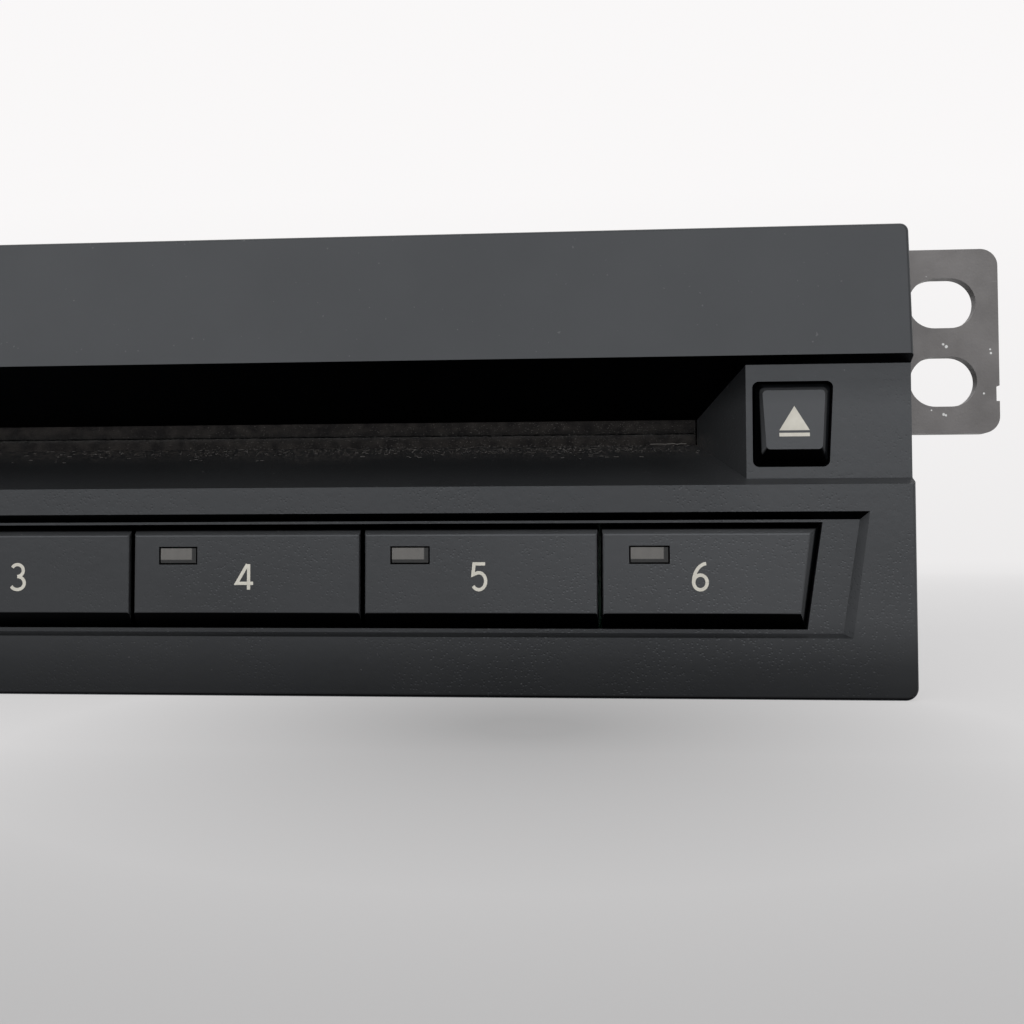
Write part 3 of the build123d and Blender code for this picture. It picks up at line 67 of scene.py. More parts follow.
# Fibres that stand out of the nap
FIBRE_COUNT = 9000
FIBRE_LENGTH = 0.42 * MM
FIBRE_WIDTH = 0.04 * MM
FIBRE_ROOT_DEPTH = 0.1 * MM
FIBRE_ROOT_Z = (31.4 * MM, 34.5 * MM)
FIBRE_LENGTH_SHARES = (0.6, 1.25)
FIBRE_RISE = (-0.2, 0.7)
FIBRE_SIDE_LEAN = 0.7
FIBRE_FRONT_LEAN = 0.7
FIBRE_LEAN_SPREAD = 0.4
FIBRE_CROWDING = 1.25

# Curled lint
LINT_COUNT = 260
LINT_DEPTHS = (6.5 * MM, 11.0 * MM, 10.2 * MM)
LINT_LIFT = 0.05 * MM
LINT_TOP_Z = SLOT_LOW + 0.9 * MM
LINT_STEPS = (2, 5)
LINT_STEP = 0.14 * MM
LINT_CURL = 0.6
LINT_DEPTH_SHARE = 0.35
LINT_RISE_SHARE = 0.2
LINT_HALF = 0.018 * MM

# Pale specks, most of them toward the right end
SPECK_COUNT = 1500
SPECK_X = (-20 * MM, SLOT_HALF, 62 * MM)
SPECK_FELT_SHARE = 0.55
SPECK_FELT_Z = (31.2 * MM, 34.3 * MM)
SPECK_RAMP_Z = (30.2 * MM, 31.3 * MM)
SPECK_DEPTH = 10.3 * MM
SPECK_LIFT = 0.06 * MM
SPECK_LENGTHS = (0.04 * MM, 0.14 * MM)
SPECK_TILT = 0.06 * MM
SPECK_HALF = 0.022 * MM

# One long thread
THREAD_START = 64.5 * MM
THREAD_STEP = 0.39 * MM
THREAD_POINTS = 13
THREAD_DEPTH = 10.0 * MM
THREAD_Z = 31.45 * MM
THREAD_WANDER = 0.04 * MM
THREAD_HALF = 0.045 * MM

# Key row and legends
KEY_COUNT = 6
KEY_PITCH = 28.9 * MM
END_KEY_SHIFT = 2.55 * MM
DIGIT_SHIFT = -0.12 * MM
DIGIT_Z = 14.58 * MM
DIGIT_HEIGHT = 3.12 * MM
DIGIT_WIDTH = {1: 1.3 * MM, 2: 1.75 * MM, 3: 1.75 * MM, 4: 2.07 * MM, 5: 1.68 * MM, 6: 1.6 * MM}
STROKE = 0.4 * MM
STROKE_REACH = 2.0
RIBBON_CORNERS = 4
INK = 0.02 * MM
INK_STEP = 0.006 * MM
ICON_X = 80.93 * MM
ICON_HALF = 1.78 * MM
ICON_BASE_Z = 31.95 * MM
ICON_APEX_Z = 34.85 * MM
BAR_LOW_Z = 31.22 * MM
BAR_HIGH_Z = 31.65 * MM

# Rounds on the crisp edges
EDGE_ROUNDS = {"fascia": 0.3 * MM, "mounting_bracket_left": 0.35 * MM, "mounting_bracket_right": 0.35 * MM}
EDGE_SEGMENTS = 2
EDGE_ANGLE = math.radians(28)

# Middle of a noise's range, and a stretch that leaves a noise its changes along X alone
NOISE_SPAN = (0.3, 0.7)
ALONG_X = (1, 0, 0)

# Satin plastic: colours
PLASTIC_DARK = (0.0058, 0.0062, 0.0068)
PLASTIC_LIGHT = (0.0085, 0.0088, 0.0092)
# Painted sheen: the lighter tone of the front faces
PLASTIC_PAINTED_SHEEN = (0.042, 0.043, 0.045)
PLASTIC_SPECK = (0.045, 0.045, 0.045)
# Painted shade: near-black for faces that look down and for the sides deep in the gaps
PLASTIC_PAINTED_SHADE = (0.0005, 0.0005, 0.0006)
PLASTIC_TINT = (0.92, 0.95, 1.0, 1)
DUST_COLOUR = (0.045, 0.04, 0.037)

# Satin plastic: marks
SMUDGE_SIZE = 30 * MM
SMUDGE_SPAN = (0.35, 0.7)
PLASTIC_SPECK_SIZE = 0.5 * MM
PLASTIC_SPECK_SPAN = (0.765, 0.79)
GLOSS_SIZE = 12 * MM
GLOSS_LEVELS = (0.28, 0.36)
DUST_WAVE = 14 * MM
DUST_SWAY = 1.2 * MM
DUST_DEPTH = (6.6 * MM, 9.4 * MM)
DUST_TOP_Z = (33.0 * MM, 32.0 * MM)
FLECK_SIZE = 0.3 * MM
FLECK_STRETCH = (0.6, 1, 1)
FLECK_SPAN = (0.46, 0.66)

# Satin plastic: painted sheen, a lighter tone on the caps and on the shell that fades toward the foot, the
# top and deep in the funnel
SHEEN_X = (15 * MM, 75 * MM)
CAP_SHEEN = (0.25, 0.75)
SHELL_SHEEN = (0.18, 0.3)
SHEEN_FOOT_Z = (4 * MM, 10 * MM)
SHEEN_TOP_Z = (35 * MM, 38 * MM)
SHEEN_TOP_LEVELS = (1.0, 0.1)
SHEEN_DEPTH = (1 * MM, 5 * MM)
SHEEN_DEPTH_LEVELS = (1.0, 0.3)
SHEEN_SIDE_X = (66 * MM, 78 * MM)
SHEEN_SIDE_LEVELS = (0.3, 1.8)

# Satin plastic: painted shade on faces that look down, on the sides deep in the gaps and, through the
# metallic share, toward the foot
DOWN_FACING = (-0.15, -0.45)
CAP_GAP_DEPTH = (0.5 * MM, 0.7 * MM)
SHELL_GAP_DEPTH = (10.8 * MM, 11.4 * MM)
FOOT_SHADE_Z = (9 * MM, 1 * MM)
FOOT_SHADE_LEVELS = (0.0, 0.5)

# Satin plastic: pits and orange peel
PIT_PITCH = 0.45 * MM
PIT_EDGE = (0.12, 0.34)
PIT_Z = (42 * MM, 22 * MM)
PIT_Z_LEVELS = (0.1, 1.0)
PIT_X = (-20 * MM, 70 * MM)
PIT_X_LEVELS = (0.45, 1.0)
PIT_CLUSTER = 9 * MM
PIT_CLUSTER_SPAN = (0.38, 0.58)
PIT_CLUSTER_LEVELS = (0.1, 1.0)
PEEL_SIZE = 1.2 * MM
PEEL_SHARE = 0.7
PLASTIC_RELIEF = 0.02 * MM

# Flocking
FLOCK_DARK = (0.008, 0.007, 0.007)
FLOCK_DUSTY = (0.026, 0.023, 0.021)
FLOCK_CLUMP = 1.5 * MM
FLOCK_SPAN = (0.35, 0.75)
FLOCK_ROUGHNESS = 0.95
FLOCK_SPECULAR = 0.1
FLOCK_SHEEN = 0.08
FLOCK_SHEEN_ROUGHNESS = 0.6
FLOCK_GRAIN = 0.25 * MM
FLOCK_RELIEF = 0.1 * MM

# Coated steel of the ears, with its bare spots: X, Z and radius
COAT_DARK = (0.105, 0.098, 0.096)
COAT_LIGHT = (0.145, 0.136, 0.134)
COAT_SCRATCH = (0.16, 0.155, 0.15)
COAT_BARE = (0.6, 0.6, 0.59)
COAT_PATCH = 6 * MM
SCRATCH_SIZE = 1.2 * MM
SCRATCH_STRETCH = (0.12, 1, 1.5)
SCRATCH_SPAN = (0.68, 0.74)
COAT_METALLIC = 0.2
COAT_GLOSS_SIZE = 3 * MM
COAT_GLOSS_LEVELS = (0.36, 0.52)
COAT_GRAIN = 0.4 * MM
COAT_RELIEF = 0.02 * MM
NICK_WOBBLE = 0.6 * MM
NICK_OUTER = 1.2
NICK_INNER = 0.9
NICKS = (
    (102.4 * MM, 44.25 * MM, 0.3 * MM),
    (102.8 * MM, 43.95 * MM, 0.32 * MM),
    (102.3 * MM, 35.15 * MM, 0.3 * MM),
    (102.6 * MM, 35.0 * MM, 0.25 * MM),
    (100.8 * MM, 35.7 * MM, 0.18 * MM),
    (107.4 * MM, 37.8 * MM, 0.22 * MM),
    (108.3 * MM, 43.5 * MM, 0.2 * MM),
    (108.4 * MM, 43.0 * MM, 0.22 * MM),
    (100.4 * MM, 53.1 * MM, 0.14 * MM),
)

# Zinc-plated sheet
ZINC_DARK = (0.46, 0.47, 0.48)
ZINC_LIGHT = (0.6, 0.61, 0.61)
ZINC_LINE = 0.8 * MM
ZINC_LINE_STRETCH = (0.03, 1, 1)
ZINC_SPANGLE = 12 * MM
ZINC_GLOSS_LEVELS = (0.3, 0.46)
ZINC_RELIEF = 0.01 * MM

# Light guides: the clear part ends at a right edge, from the left end of its key, and a low edge
GUIDE_RIGHT = 7.6 * MM
GUIDE_LOW = 16.7 * MM
GUIDE_RIM_SOFTNESS = 0.05 * MM
GUIDE_DARK = (0.098, 0.093, 0.087)
GUIDE_LIGHT = (0.112, 0.106, 0.099)
GUIDE_RIM = (0.002, 0.002, 0.002)
GUIDE_STRIPE = 0.9 * MM
GUIDE_ROUGHNESS = 0.3
GUIDE_GRAIN = 1.2 * MM
GUIDE_RELIEF = 0.01 * MM

# Ink and lint
INK_DARK = (0.50, 0.475, 0.415)
INK_LIGHT = (0.58, 0.555, 0.49)
INK_PATCH = 1.2 * MM
INK_ROUGHNESS = 0.55
LINT_DARK = (0.03, 0.027, 0.025)
LINT_LIGHT = (0.16, 0.15, 0.14)
LINT_PATCH = 4 * MM
LINT_ROUGHNESS = 0.9

# Grained finishes: dark and light colour, roughness, size and depth of the grain, and metallic share
GRAINED_PATCH = 20 * MM
GRAINED_GLOSS_PATCH = GRAINED_PATCH / 3
GRAINED_GLOSS_SPREAD = 0.06
GRAINED = {
    "circuit_board": ((0.01, 0.09, 0.04), (0.015, 0.13, 0.06), 0.3, 1.0 * MM, 0.02 * MM, 0.0),
    "switch_plastic": ((0.012, 0.012, 0.012), (0.02, 0.02, 0.02), 0.45, 0.4 * MM, 0.01 * MM, 0.0),
    "led_body": ((0.6, 0.58, 0.5), (0.75, 0.72, 0.62), 0.25, 0.5 * MM, 0.01 * MM, 0.0),
    "plated_screw": ((0.55, 0.5, 0.38), (0.68, 0.64, 0.52), 0.28, 0.8 * MM, 0.01 * MM, 1.0),
    "chip_epoxy": ((0.015, 0.015, 0.015), (0.025, 0.025, 0.025), 0.6, 0.3 * MM, 0.01 * MM, 0.0),
    "ribbon_film": ((0.7, 0.68, 0.6), (0.8, 0.78, 0.7), 0.3, 2.0 * MM, 0.01 * MM, 0.0),
    "damper_rubber": ((0.012, 0.012, 0.012), (0.025, 0.024, 0.023), 0.8, 0.8 * MM, 0.03 * MM, 0.0),
    "roller_rubber": ((0.03, 0.03, 0.03), (0.05, 0.05, 0.048), 0.75, 0.5 * MM, 0.03 * MM, 0.0),
    "bright_steel": ((0.6, 0.6, 0.6), (0.7, 0.7, 0.7), 0.22, 0.6 * MM, 0.006 * MM, 1.0),
    "gear_acetal": ((0.72, 0.71, 0.65), (0.8, 0.79, 0.74), 0.45, 1.0 * MM, 0.01 * MM, 0.0),
    "brass_pinion": ((0.62, 0.46, 0.2), (0.75, 0.58, 0.28), 0.28, 0.5 * MM, 0.01 * MM, 1.0),
    "mechanism_plastic": ((0.03, 0.03, 0.032), (0.05, 0.05, 0.052), 0.5, 0.6 * MM, 0.02 * MM, 0.0),
}

# Stage: a floor that bends up into a backdrop
STAGE_HALF = 3.0
FLOOR_NEAR = -2.5
BEND_START = 0.5
BEND_RADIUS = 0.7
BEND_STEPS = 12
BACKDROP_TOP = 3.0
# Painted shade: near and behind the camera the paper is darkened toward this black
PAINTED_SHADE_BLACK = (0.0, 0.0, 0.0)
PAPER_COLOUR = (0.42, 0.415, 0.415)
PAPER_ROUGHNESS = 0.9
NEAR_CAMERA_SHADE_Y = (-0.4, -0.19)
NEAR_CAMERA_SHADE_LEVELS = (0.6, 1.0)

# Tone of the paper: a painted shadow where the object stands over it, painted shade toward the camera and
# painted light rising back and up the backdrop
PAINTED_SHADOW_MIDDLE = (0.05, -0.112, 0)
PAINTED_SHADOW_REACH = (0.005, 0.05)
PAINTED_SHADOW_LEVELS = (0.38, 0.84)
CAMERA_SHADE_FALL_Y = (-0.125, -0.18)
CAMERA_SHADE_FALL = (0.0, 0.3)
PAINTED_LIGHT_RISE_Y = (0.0, 0.9)
PAINTED_LIGHT_RISE = (0.0, 0.04)
PAINTED_LIGHT_HEIGHT = (0.0, 0.5)
PAINTED_LIGHT_HEIGHT_RISE = (0.0, 0.1)
TONE_CHANNELS = {"Red": 1.0, "Green": 0.985, "Blue": 0.985}
TONE_SHARE_Y = (0.0, 0.6)
TONE_SHARE = (0.6, 0.95)

# Lamps: place, width and height, watts and target
LAMPS = {
    "front_softbox": ((0.0, -1.4, 0.8), (2.6, 1.5), 15, (0, 0, 0.03)),
    "top_softbox": ((0.0, 0.2, 1.4), (1.6, 1.6), 3, (0, 0, 0)),
}
WORLD_COLOUR = (0.97, 0.985, 1.0, 1)
WORLD_STRENGTH = 0.84

# Camera
CAMERA_PLACE = Vector((55.9 * MM, FRONT - 123.7 * MM, 18.2 * MM))
CAMERA_FORWARD = Vector((-0.0698, 0.9970, 0.0338))
CAMERA_ROLL = math.radians(0.15)
CAMERA_LENS = 36.1
CAMERA_SENSOR = 36
CAMERA_CLIP = 5 * MM


def shader(name):
    """New node material with its tree and its Principled node."""
    material = bpy.data.materials.new(name)
    material.use_nodes = True
    tree = material.node_tree
    return material, tree, tree.nodes["Principled BSDF"]


def node(tree, kind, **inputs):
    """New node with values or links on its named inputs."""
    made = tree.nodes.new(kind)
    for key, value in inputs.items():
        feed(tree, made.inputs[key.replace("_", " ")], value)
    return made


def feed(tree, socket, value):
    """Links a socket into another, or sets its value."""
    if isinstance(value, bpy.types.NodeSocket):
        tree.links.new(value, socket)
    else:
        socket.default_value = value


def place(tree):
    """Object coordinates, which are metres in the object's frame."""
    return tree.nodes.new("ShaderNodeTexCoord").outputs["Object"]


def axes(tree):
    """Separate X, Y and Z of the object coordinates."""
    made = node(tree, "ShaderNodeSeparateXYZ", Vector=place(tree))
    return made.outputs["X"], made.outputs["Y"], made.outputs["Z"]


def noise(tree, size, detail=3.0, stretch=(1, 1, 1), shift=0.0):
    """Noise whose features are about the given size; a shift keeps it unlike other noises."""
    mapping = node(tree, "ShaderNodeMapping", Vector=place(tree), Scale=stretch, Location=(shift, 0, 0))
    made = node(tree, "ShaderNodeTexNoise", Vector=mapping.outputs["Vector"], Scale=1 / size, Detail=detail)
    return made.outputs["Fac"]


def ramp(tree, value, span, levels=(0.0, 1.0)):
    """Maps the span of a value to two levels, held at the ends."""
    made = node(tree, "ShaderNodeMapRange", Value=value)
    made.inputs["From Min"].default_value, made.inputs["From Max"].default_value = span
    made.inputs["To Min"].default_value, made.inputs["To Max"].default_value = levels
    return made.outputs["Result"]


def maths(tree, operation, first, second=0.0):
    """Arithmetic on numbers or sockets."""
    made = tree.nodes.new("ShaderNodeMath")
    made.operation = operation
    feed(tree, made.inputs[0], first)
    feed(tree, made.inputs[1], second)
    return made.outputs["Value"]


def distance(tree, spot):
    """Distance of each surface point from a spot."""
    made = node(tree, "ShaderNodeVectorMath", Vector=place(tree))
    made.operation = "DISTANCE"
    made.inputs[1].default_value = spot
    return made.outputs["Value"]


def blend_colours(tree, factor, first, second):
    """Mix of two colours or colour sockets."""
    made = tree.nodes.new("ShaderNodeMix")
    made.data_type = "RGBA"
    tree.links.new(factor, made.inputs["Factor"])
    for name, value in (("A", first), ("B", second)):
        socket = [s for s in made.inputs if s.name == name and s.type == "RGBA"][0]
        feed(tree, socket, value if isinstance(value, bpy.types.NodeSocket) else (*value, 1))
    return [s for s in made.outputs if s.type == "RGBA"][0]


def bump(tree, bsdf, height, distance_out):
    """Bump that stands a height map a given distance out of the surface."""
    made = node(tree, "ShaderNodeBump", Height=height, Distance=distance_out)
    tree.links.new(made.outputs["Normal"], bsdf.inputs["Normal"])


def grained(name, dark, light, rough, grain, depth, metallic):
    """Surface with patchy colour, patchy roughness and fine grain."""
    material, tree, bsdf = shader(name)
    patches = ramp(tree, noise(tree, GRAINED_PATCH), NOISE_SPAN)
    tree.links.new(blend_colours(tree, patches, dark, light), bsdf.inputs["Base Color"])
    levels = (rough - GRAINED_GLOSS_SPREAD, rough + GRAINED_GLOSS_SPREAD)
    gloss = ramp(tree, noise(tree, GRAINED_GLOSS_PATCH, shift=3.0), NOISE_SPAN, levels)
    tree.links.new(gloss, bsdf.inputs["Roughness"])
    bsdf.inputs["Metallic"].default_value = metallic
    bump(tree, bsdf, noise(tree, grain, detail=2.0), depth)
    return material


def dust_share(tree, depth, z):
    """Share of dust on the ramp by the slot, with a wavy edge and fine flecks."""
    wave = noise(tree, DUST_WAVE, detail=2.0, stretch=ALONG_X)
    sway = ramp(tree, wave, NOISE_SPAN, (-DUST_SWAY, DUST_SWAY))
    near = ramp(tree, maths(tree, "ADD", depth, sway), DUST_DEPTH)
    near = maths(tree, "MULTIPLY", near, ramp(tree, z, DUST_TOP_Z))
    flecks = ramp(tree, noise(tree, FLECK_SIZE, detail=2.0, stretch=FLECK_STRETCH), FLECK_SPAN)
    return maths(tree, "MULTIPLY", near, flecks)


def cap_painted_sheen(tree, x, z, levels):
    """Share of the painted sheen, a lighter tone which grows to the right and fades at the foot and the
    top.
    """
    painted_sheen = maths(tree, "MULTIPLY", ramp(tree, x, SHEEN_X, levels), ramp(tree, z, SHEEN_FOOT_Z))
    return maths(tree, "MULTIPLY", painted_sheen, ramp(tree, z, SHEEN_TOP_Z, SHEEN_TOP_LEVELS))


def shell_painted_sheen(tree, x, depth, z):
    """Share of the painted sheen on the shell: less deep in the funnel, which paints shade there, more
    beside it.
    """
    deep = ramp(tree, depth, SHEEN_DEPTH, SHEEN_DEPTH_LEVELS)
    aside = ramp(tree, maths(tree, "ABSOLUTE", x), SHEEN_SIDE_X, SHEEN_SIDE_LEVELS)
    return maths(tree, "MULTIPLY", cap_painted_sheen(tree, x, z, SHELL_SHEEN), maths(tree, "MAXIMUM", deep, aside))


def painted_shade_share(tree, depth, gap_depth):
    """Share of painted shade on the faces that look down and on the sides deep in the gaps round the caps
    and, on the shell, deep in the slot.
    """
    normal = tree.nodes.new("ShaderNodeTexCoord").outputs["Normal"]
    facing = node(tree, "ShaderNodeSeparateXYZ", Vector=normal)
    down = ramp(tree, facing.outputs["Z"], DOWN_FACING)
    return maths(tree, "MAXIMUM", down, ramp(tree, depth, gap_depth))


def plastic_relief(tree, x, z):
    """Height map of scattered round pits, denser low down and to the right, over orange peel."""
    spread = maths(tree, "MULTIPLY", ramp(tree, z, PIT_Z, PIT_Z_LEVELS), ramp(tree, x, PIT_X, PIT_X_LEVELS))
    clusters = ramp(tree, noise(tree, PIT_CLUSTER, shift=6.0), PIT_CLUSTER_SPAN, PIT_CLUSTER_LEVELS)
    density = maths(tree, "MULTIPLY", spread, clusters)
    cells = node(tree, "ShaderNodeTexVoronoi", Vector=place(tree), Scale=1 / PIT_PITCH)
    dips = ramp(tree, cells.outputs["Distance"], PIT_EDGE, (1.0, 0.0))
    pits = maths(tree, "SUBTRACT", 1.0, maths(tree, "MULTIPLY", dips, density))
    peel = noise(tree, PEEL_SIZE, detail=2.0, shift=2.0)
    return maths(tree, "ADD", pits, maths(tree, "MULTIPLY", peel, PEEL_SHARE))


def satin_plastic(name, is_shell):
    """Satin black moulding with pits, smudges, specks, painted sheen, painted shade and, on the shell, dust
    by the slot.
    """
    material, tree, bsdf = shader(name)
    x, y, z = axes(tree)
    depth = maths(tree, "SUBTRACT", y, FRONT)
    smudges = ramp(tree, noise(tree, SMUDGE_SIZE, detail=5.0), SMUDGE_SPAN)
    colour = blend_colours(tree, smudges, PLASTIC_DARK, PLASTIC_LIGHT)
    specks = ramp(tree, noise(tree, PLASTIC_SPECK_SIZE, detail=1.0), PLASTIC_SPECK_SPAN)
    colour = blend_colours(tree, specks, colour, PLASTIC_SPECK)
    if is_shell:
        colour = blend_colours(tree, dust_share(tree, depth, z), colour, DUST_COLOUR)
        painted_sheen = shell_painted_sheen(tree, x, depth, z)
        gap_depth = SHELL_GAP_DEPTH
    else:
        painted_sheen = cap_painted_sheen(tree, x, z, CAP_SHEEN)
        gap_depth = CAP_GAP_DEPTH
    # Painted sheen: a lighter tone that fades toward the foot, the top and, on the shell, deep in the
    # funnel
    colour = blend_colours(tree, painted_sheen, colour, PLASTIC_PAINTED_SHEEN)
    # Painted shade: near-black on faces that look down and deep in the gaps round the caps and in the slot
    painted_shade = painted_shade_share(tree, depth, gap_depth)
    colour = blend_colours(tree, painted_shade, colour, PLASTIC_PAINTED_SHADE)
    tree.links.new(colour, bsdf.inputs["Base Color"])
    # Painted shade: a metallic share over the near-black base dims the reflection on these faces and toward
    # the foot
    painted_shade_metallic = maths(tree, "MAXIMUM", painted_shade, ramp(tree, z, FOOT_SHADE_Z, FOOT_SHADE_LEVELS))
    tree.links.new(painted_shade_metallic, bsdf.inputs["Metallic"])
    bsdf.inputs["Specular Tint"].default_value = PLASTIC_TINT
    gloss = ramp(tree, noise(tree, GLOSS_SIZE, detail=4.0, shift=1.0), NOISE_SPAN, GLOSS_LEVELS)
    tree.links.new(gloss, bsdf.inputs["Roughness"])
    bump(tree, bsdf, plastic_relief(tree, x, z), PLASTIC_RELIEF)
    return material


def flocked(name):
    """Near-black flocking with brown dust in it."""
    material, tree, bsdf = shader(name)
    clumps = ramp(tree, noise(tree, FLOCK_CLUMP, detail=4.0), FLOCK_SPAN)
    tree.links.new(blend_colours(tree, clumps, FLOCK_DARK, FLOCK_DUSTY), bsdf.inputs["Base Color"])
    bsdf.inputs["Roughness"].default_value = FLOCK_ROUGHNESS
    bsdf.inputs["Specular IOR Level"].default_value = FLOCK_SPECULAR
    bsdf.inputs["Sheen Weight"].default_value = FLOCK_SHEEN
    bsdf.inputs["Sheen Roughness"].default_value = FLOCK_SHEEN_ROUGHNESS
    bump(tree, bsdf, noise(tree, FLOCK_GRAIN, detail=2.0), FLOCK_RELIEF)
    return material


def add_nick(tree, colour, spot, size):
    """Colour with a bare spot of uneven outline in it."""
    wobble = maths(tree, "MULTIPLY", noise(tree, NICK_WOBBLE, detail=2.0), size)
    reach = maths(tree, "ADD", distance(tree, spot), wobble)
    return blend_colours(tree, ramp(tree, reach, (size * NICK_OUTER, size * NICK_INNER)), colour, COAT_BARE)


def coated_steel(name):
    """Dark dip coat over steel, with fine scratches and bare nicks."""
    material, tree, bsdf = shader(name)
    patches = ramp(tree, noise(tree, COAT_PATCH, detail=4.0), NOISE_SPAN)
    colour = blend_colours(tree, patches, COAT_DARK, COAT_LIGHT)
    streaks = noise(tree, SCRATCH_SIZE, detail=2.0, stretch=SCRATCH_STRETCH, shift=4.0)
    colour = blend_colours(tree, ramp(tree, streaks, SCRATCH_SPAN), colour, COAT_SCRATCH)
    ear_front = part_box("mounting_bracket_right")[0].y
    for nick_x, nick_z, size in NICKS:
        for side in (-1, 1):
            colour = add_nick(tree, colour, (side * nick_x, ear_front, nick_z), size)
    tree.links.new(colour, bsdf.inputs["Base Color"])
    bsdf.inputs["Metallic"].default_value = COAT_METALLIC
    gloss = ramp(tree, noise(tree, COAT_GLOSS_SIZE, detail=4.0, shift=5.0), NOISE_SPAN, COAT_GLOSS_LEVELS)
    tree.links.new(gloss, bsdf.inputs["Roughness"])
    bump(tree, bsdf, noise(tree, COAT_GRAIN), COAT_RELIEF)
    return material


def zinc_steel(name):
    """Zinc-plated sheet with rolling lines and a faint spangle."""
    material, tree, bsdf = shader(name)
    lines = noise(tree, ZINC_LINE, stretch=ZINC_LINE_STRETCH)
    spangle = ramp(tree, noise(tree, ZINC_SPANGLE, detail=4.0, shift=2.0), NOISE_SPAN)
    tree.links.new(blend_colours(tree, spangle, ZINC_DARK, ZINC_LIGHT), bsdf.inputs["Base Color"])
    bsdf.inputs["Metallic"].default_value = 1.0
    tree.links.new(ramp(tree, lines, NOISE_SPAN, ZINC_GLOSS_LEVELS), bsdf.inputs["Roughness"])
    bump(tree, bsdf, lines, ZINC_RELIEF)
    return material


def clear_guide(name):
    """Smoked light guide with a dark rim, slightly striped by what lies behind it."""
    material, tree, bsdf = shader(name)
    stripes = ramp(tree, noise(tree, GUIDE_STRIPE, detail=1.0, stretch=ALONG_X), NOISE_SPAN)
    colour = blend_colours(tree, stripes, GUIDE_DARK, GUIDE_LIGHT)
    x, _, z = axes(tree)
    from_row_end = maths(tree, "ADD", x, KEY_COUNT / 2 * KEY_PITCH)
    across = maths(tree, "MODULO", from_row_end, KEY_PITCH)
    right_rim = ramp(tree, across, (GUIDE_RIGHT - GUIDE_RIM_SOFTNESS, GUIDE_RIGHT + GUIDE_RIM_SOFTNESS))
    low_rim = ramp(tree, z, (GUIDE_LOW + GUIDE_RIM_SOFTNESS, GUIDE_LOW - GUIDE_RIM_SOFTNESS))
    colour = blend_colours(tree, maths(tree, "MAXIMUM", right_rim, low_rim), colour, GUIDE_RIM)
    tree.links.new(colour, bsdf.inputs["Base Color"])
    bsdf.inputs["Roughness"].default_value = GUIDE_ROUGHNESS
    bump(tree, bsdf, noise(tree, GUIDE_GRAIN), GUIDE_RELIEF)
    return material


def legend(name):
    """Warm off-white ink."""
    material, tree, bsdf = shader(name)
    patches = ramp(tree, noise(tree, INK_PATCH), NOISE_SPAN)
    tree.links.new(blend_colours(tree, patches, INK_DARK, INK_LIGHT), bsdf.inputs["Base Color"])
    bsdf.inputs["Roughness"].default_value = INK_ROUGHNESS
    return material


def lint_material():
    """Pale grey-brown lint."""
    material, tree, bsdf = shader("lint")
    colour = blend_colours(tree, noise(tree, LINT_PATCH), LINT_DARK, LINT_LIGHT)
    tree.links.new(colour, bsdf.inputs["Base Color"])
    bsdf.inputs["Roughness"].default_value = LINT_ROUGHNESS
    return material


def make_materials():
    """One material for each slot of the record."""
    made = {
        "fascia_plastic": satin_plastic("fascia_plastic", True),
        "key_plastic": satin_plastic("key_plastic", False),
        "flocking": flocked("flocking"),
        "coated_steel": coated_steel("coated_steel"),
        "zinc_steel": zinc_steel("zinc_steel"),
        "light_guide": clear_guide("light_guide"),
    }
    for name, finish in GRAINED.items():
        made[name] = grained(name, *finish)
    return made


def dress(materials):
    """Gives every carried-over part the material of its slot."""
    for entry in frame["record"]["subparts"]:
        data = NODES[entry["node"]].data
        data.materials.clear()
        data.materials.append(materials[entry["material_slot"]])


def new_piece(name, points, faces, material, body):
    """Mesh piece that rides on a body and takes the given material."""
    mesh = bpy.data.meshes.new(name)
    mesh.from_pydata([tuple(point) for point in points], [], faces)
    mesh.update()
    piece = bpy.data.objects.new(name, mesh)
    bpy.context.scene.collection.objects.link(piece)
    mesh.materials.append(material)
    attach(piece, body)
    return piece


def add_part(corners, faces, more_corners, more_faces):
    """Adds a mesh part to the lists of a piece."""
    faces += [tuple(i + len(corners) for i in face) for face in more_faces]
    corners += more_corners


def arc(middle, radii, start, end, steps=14):
    """Points along part of an ellipse, in degrees."""
    turns = [math.radians(start + (end - start) * i / steps) for i in range(steps + 1)]
    return [(middle[0] + radii[0] * math.cos(t), middle[1] + radii[1] * math.sin(t)) for t in turns]


def digit_strokes(digit):
    """Centre lines of a numeral in a box one unit wide and one high."""
    if digit == 1:
        return [[(0.2, 0.78), (0.64, 1.0), (0.64, 0.0)]]
    if digit == 2:
        return [arc((0.5, 0.74), (0.47, 0.26), 165, -38) + [(0.03, 0.0), (1.0, 0.0)]]
    if digit == 3:
        upper = arc((0.46, 0.76), (0.43, 0.24), 150, -90)
        lower = arc((0.46, 0.26), (0.52, 0.26), 90, -150)
        return [upper, lower]
    if digit == 4:
        return [[(1.0, 0.25), (0.0, 0.25), (0.66, 1.0)], [(0.73, 1.0), (0.73, 0.0)]]
    if digit == 5:
        return [[(0.94, 1.0), (0.14, 1.0), (0.06, 0.58)] + arc((0.48, 0.33), (0.5, 0.33), 118, -145)]
    back = arc((1.0, 0.28), (1.0, 0.72), 94, 180)
    bowl = (0.5, 0.28)
    return [back + arc(bowl, (0.5, 0.28), 180, 360)[1:], arc(bowl, (0.5, 0.28), 0, 176)]


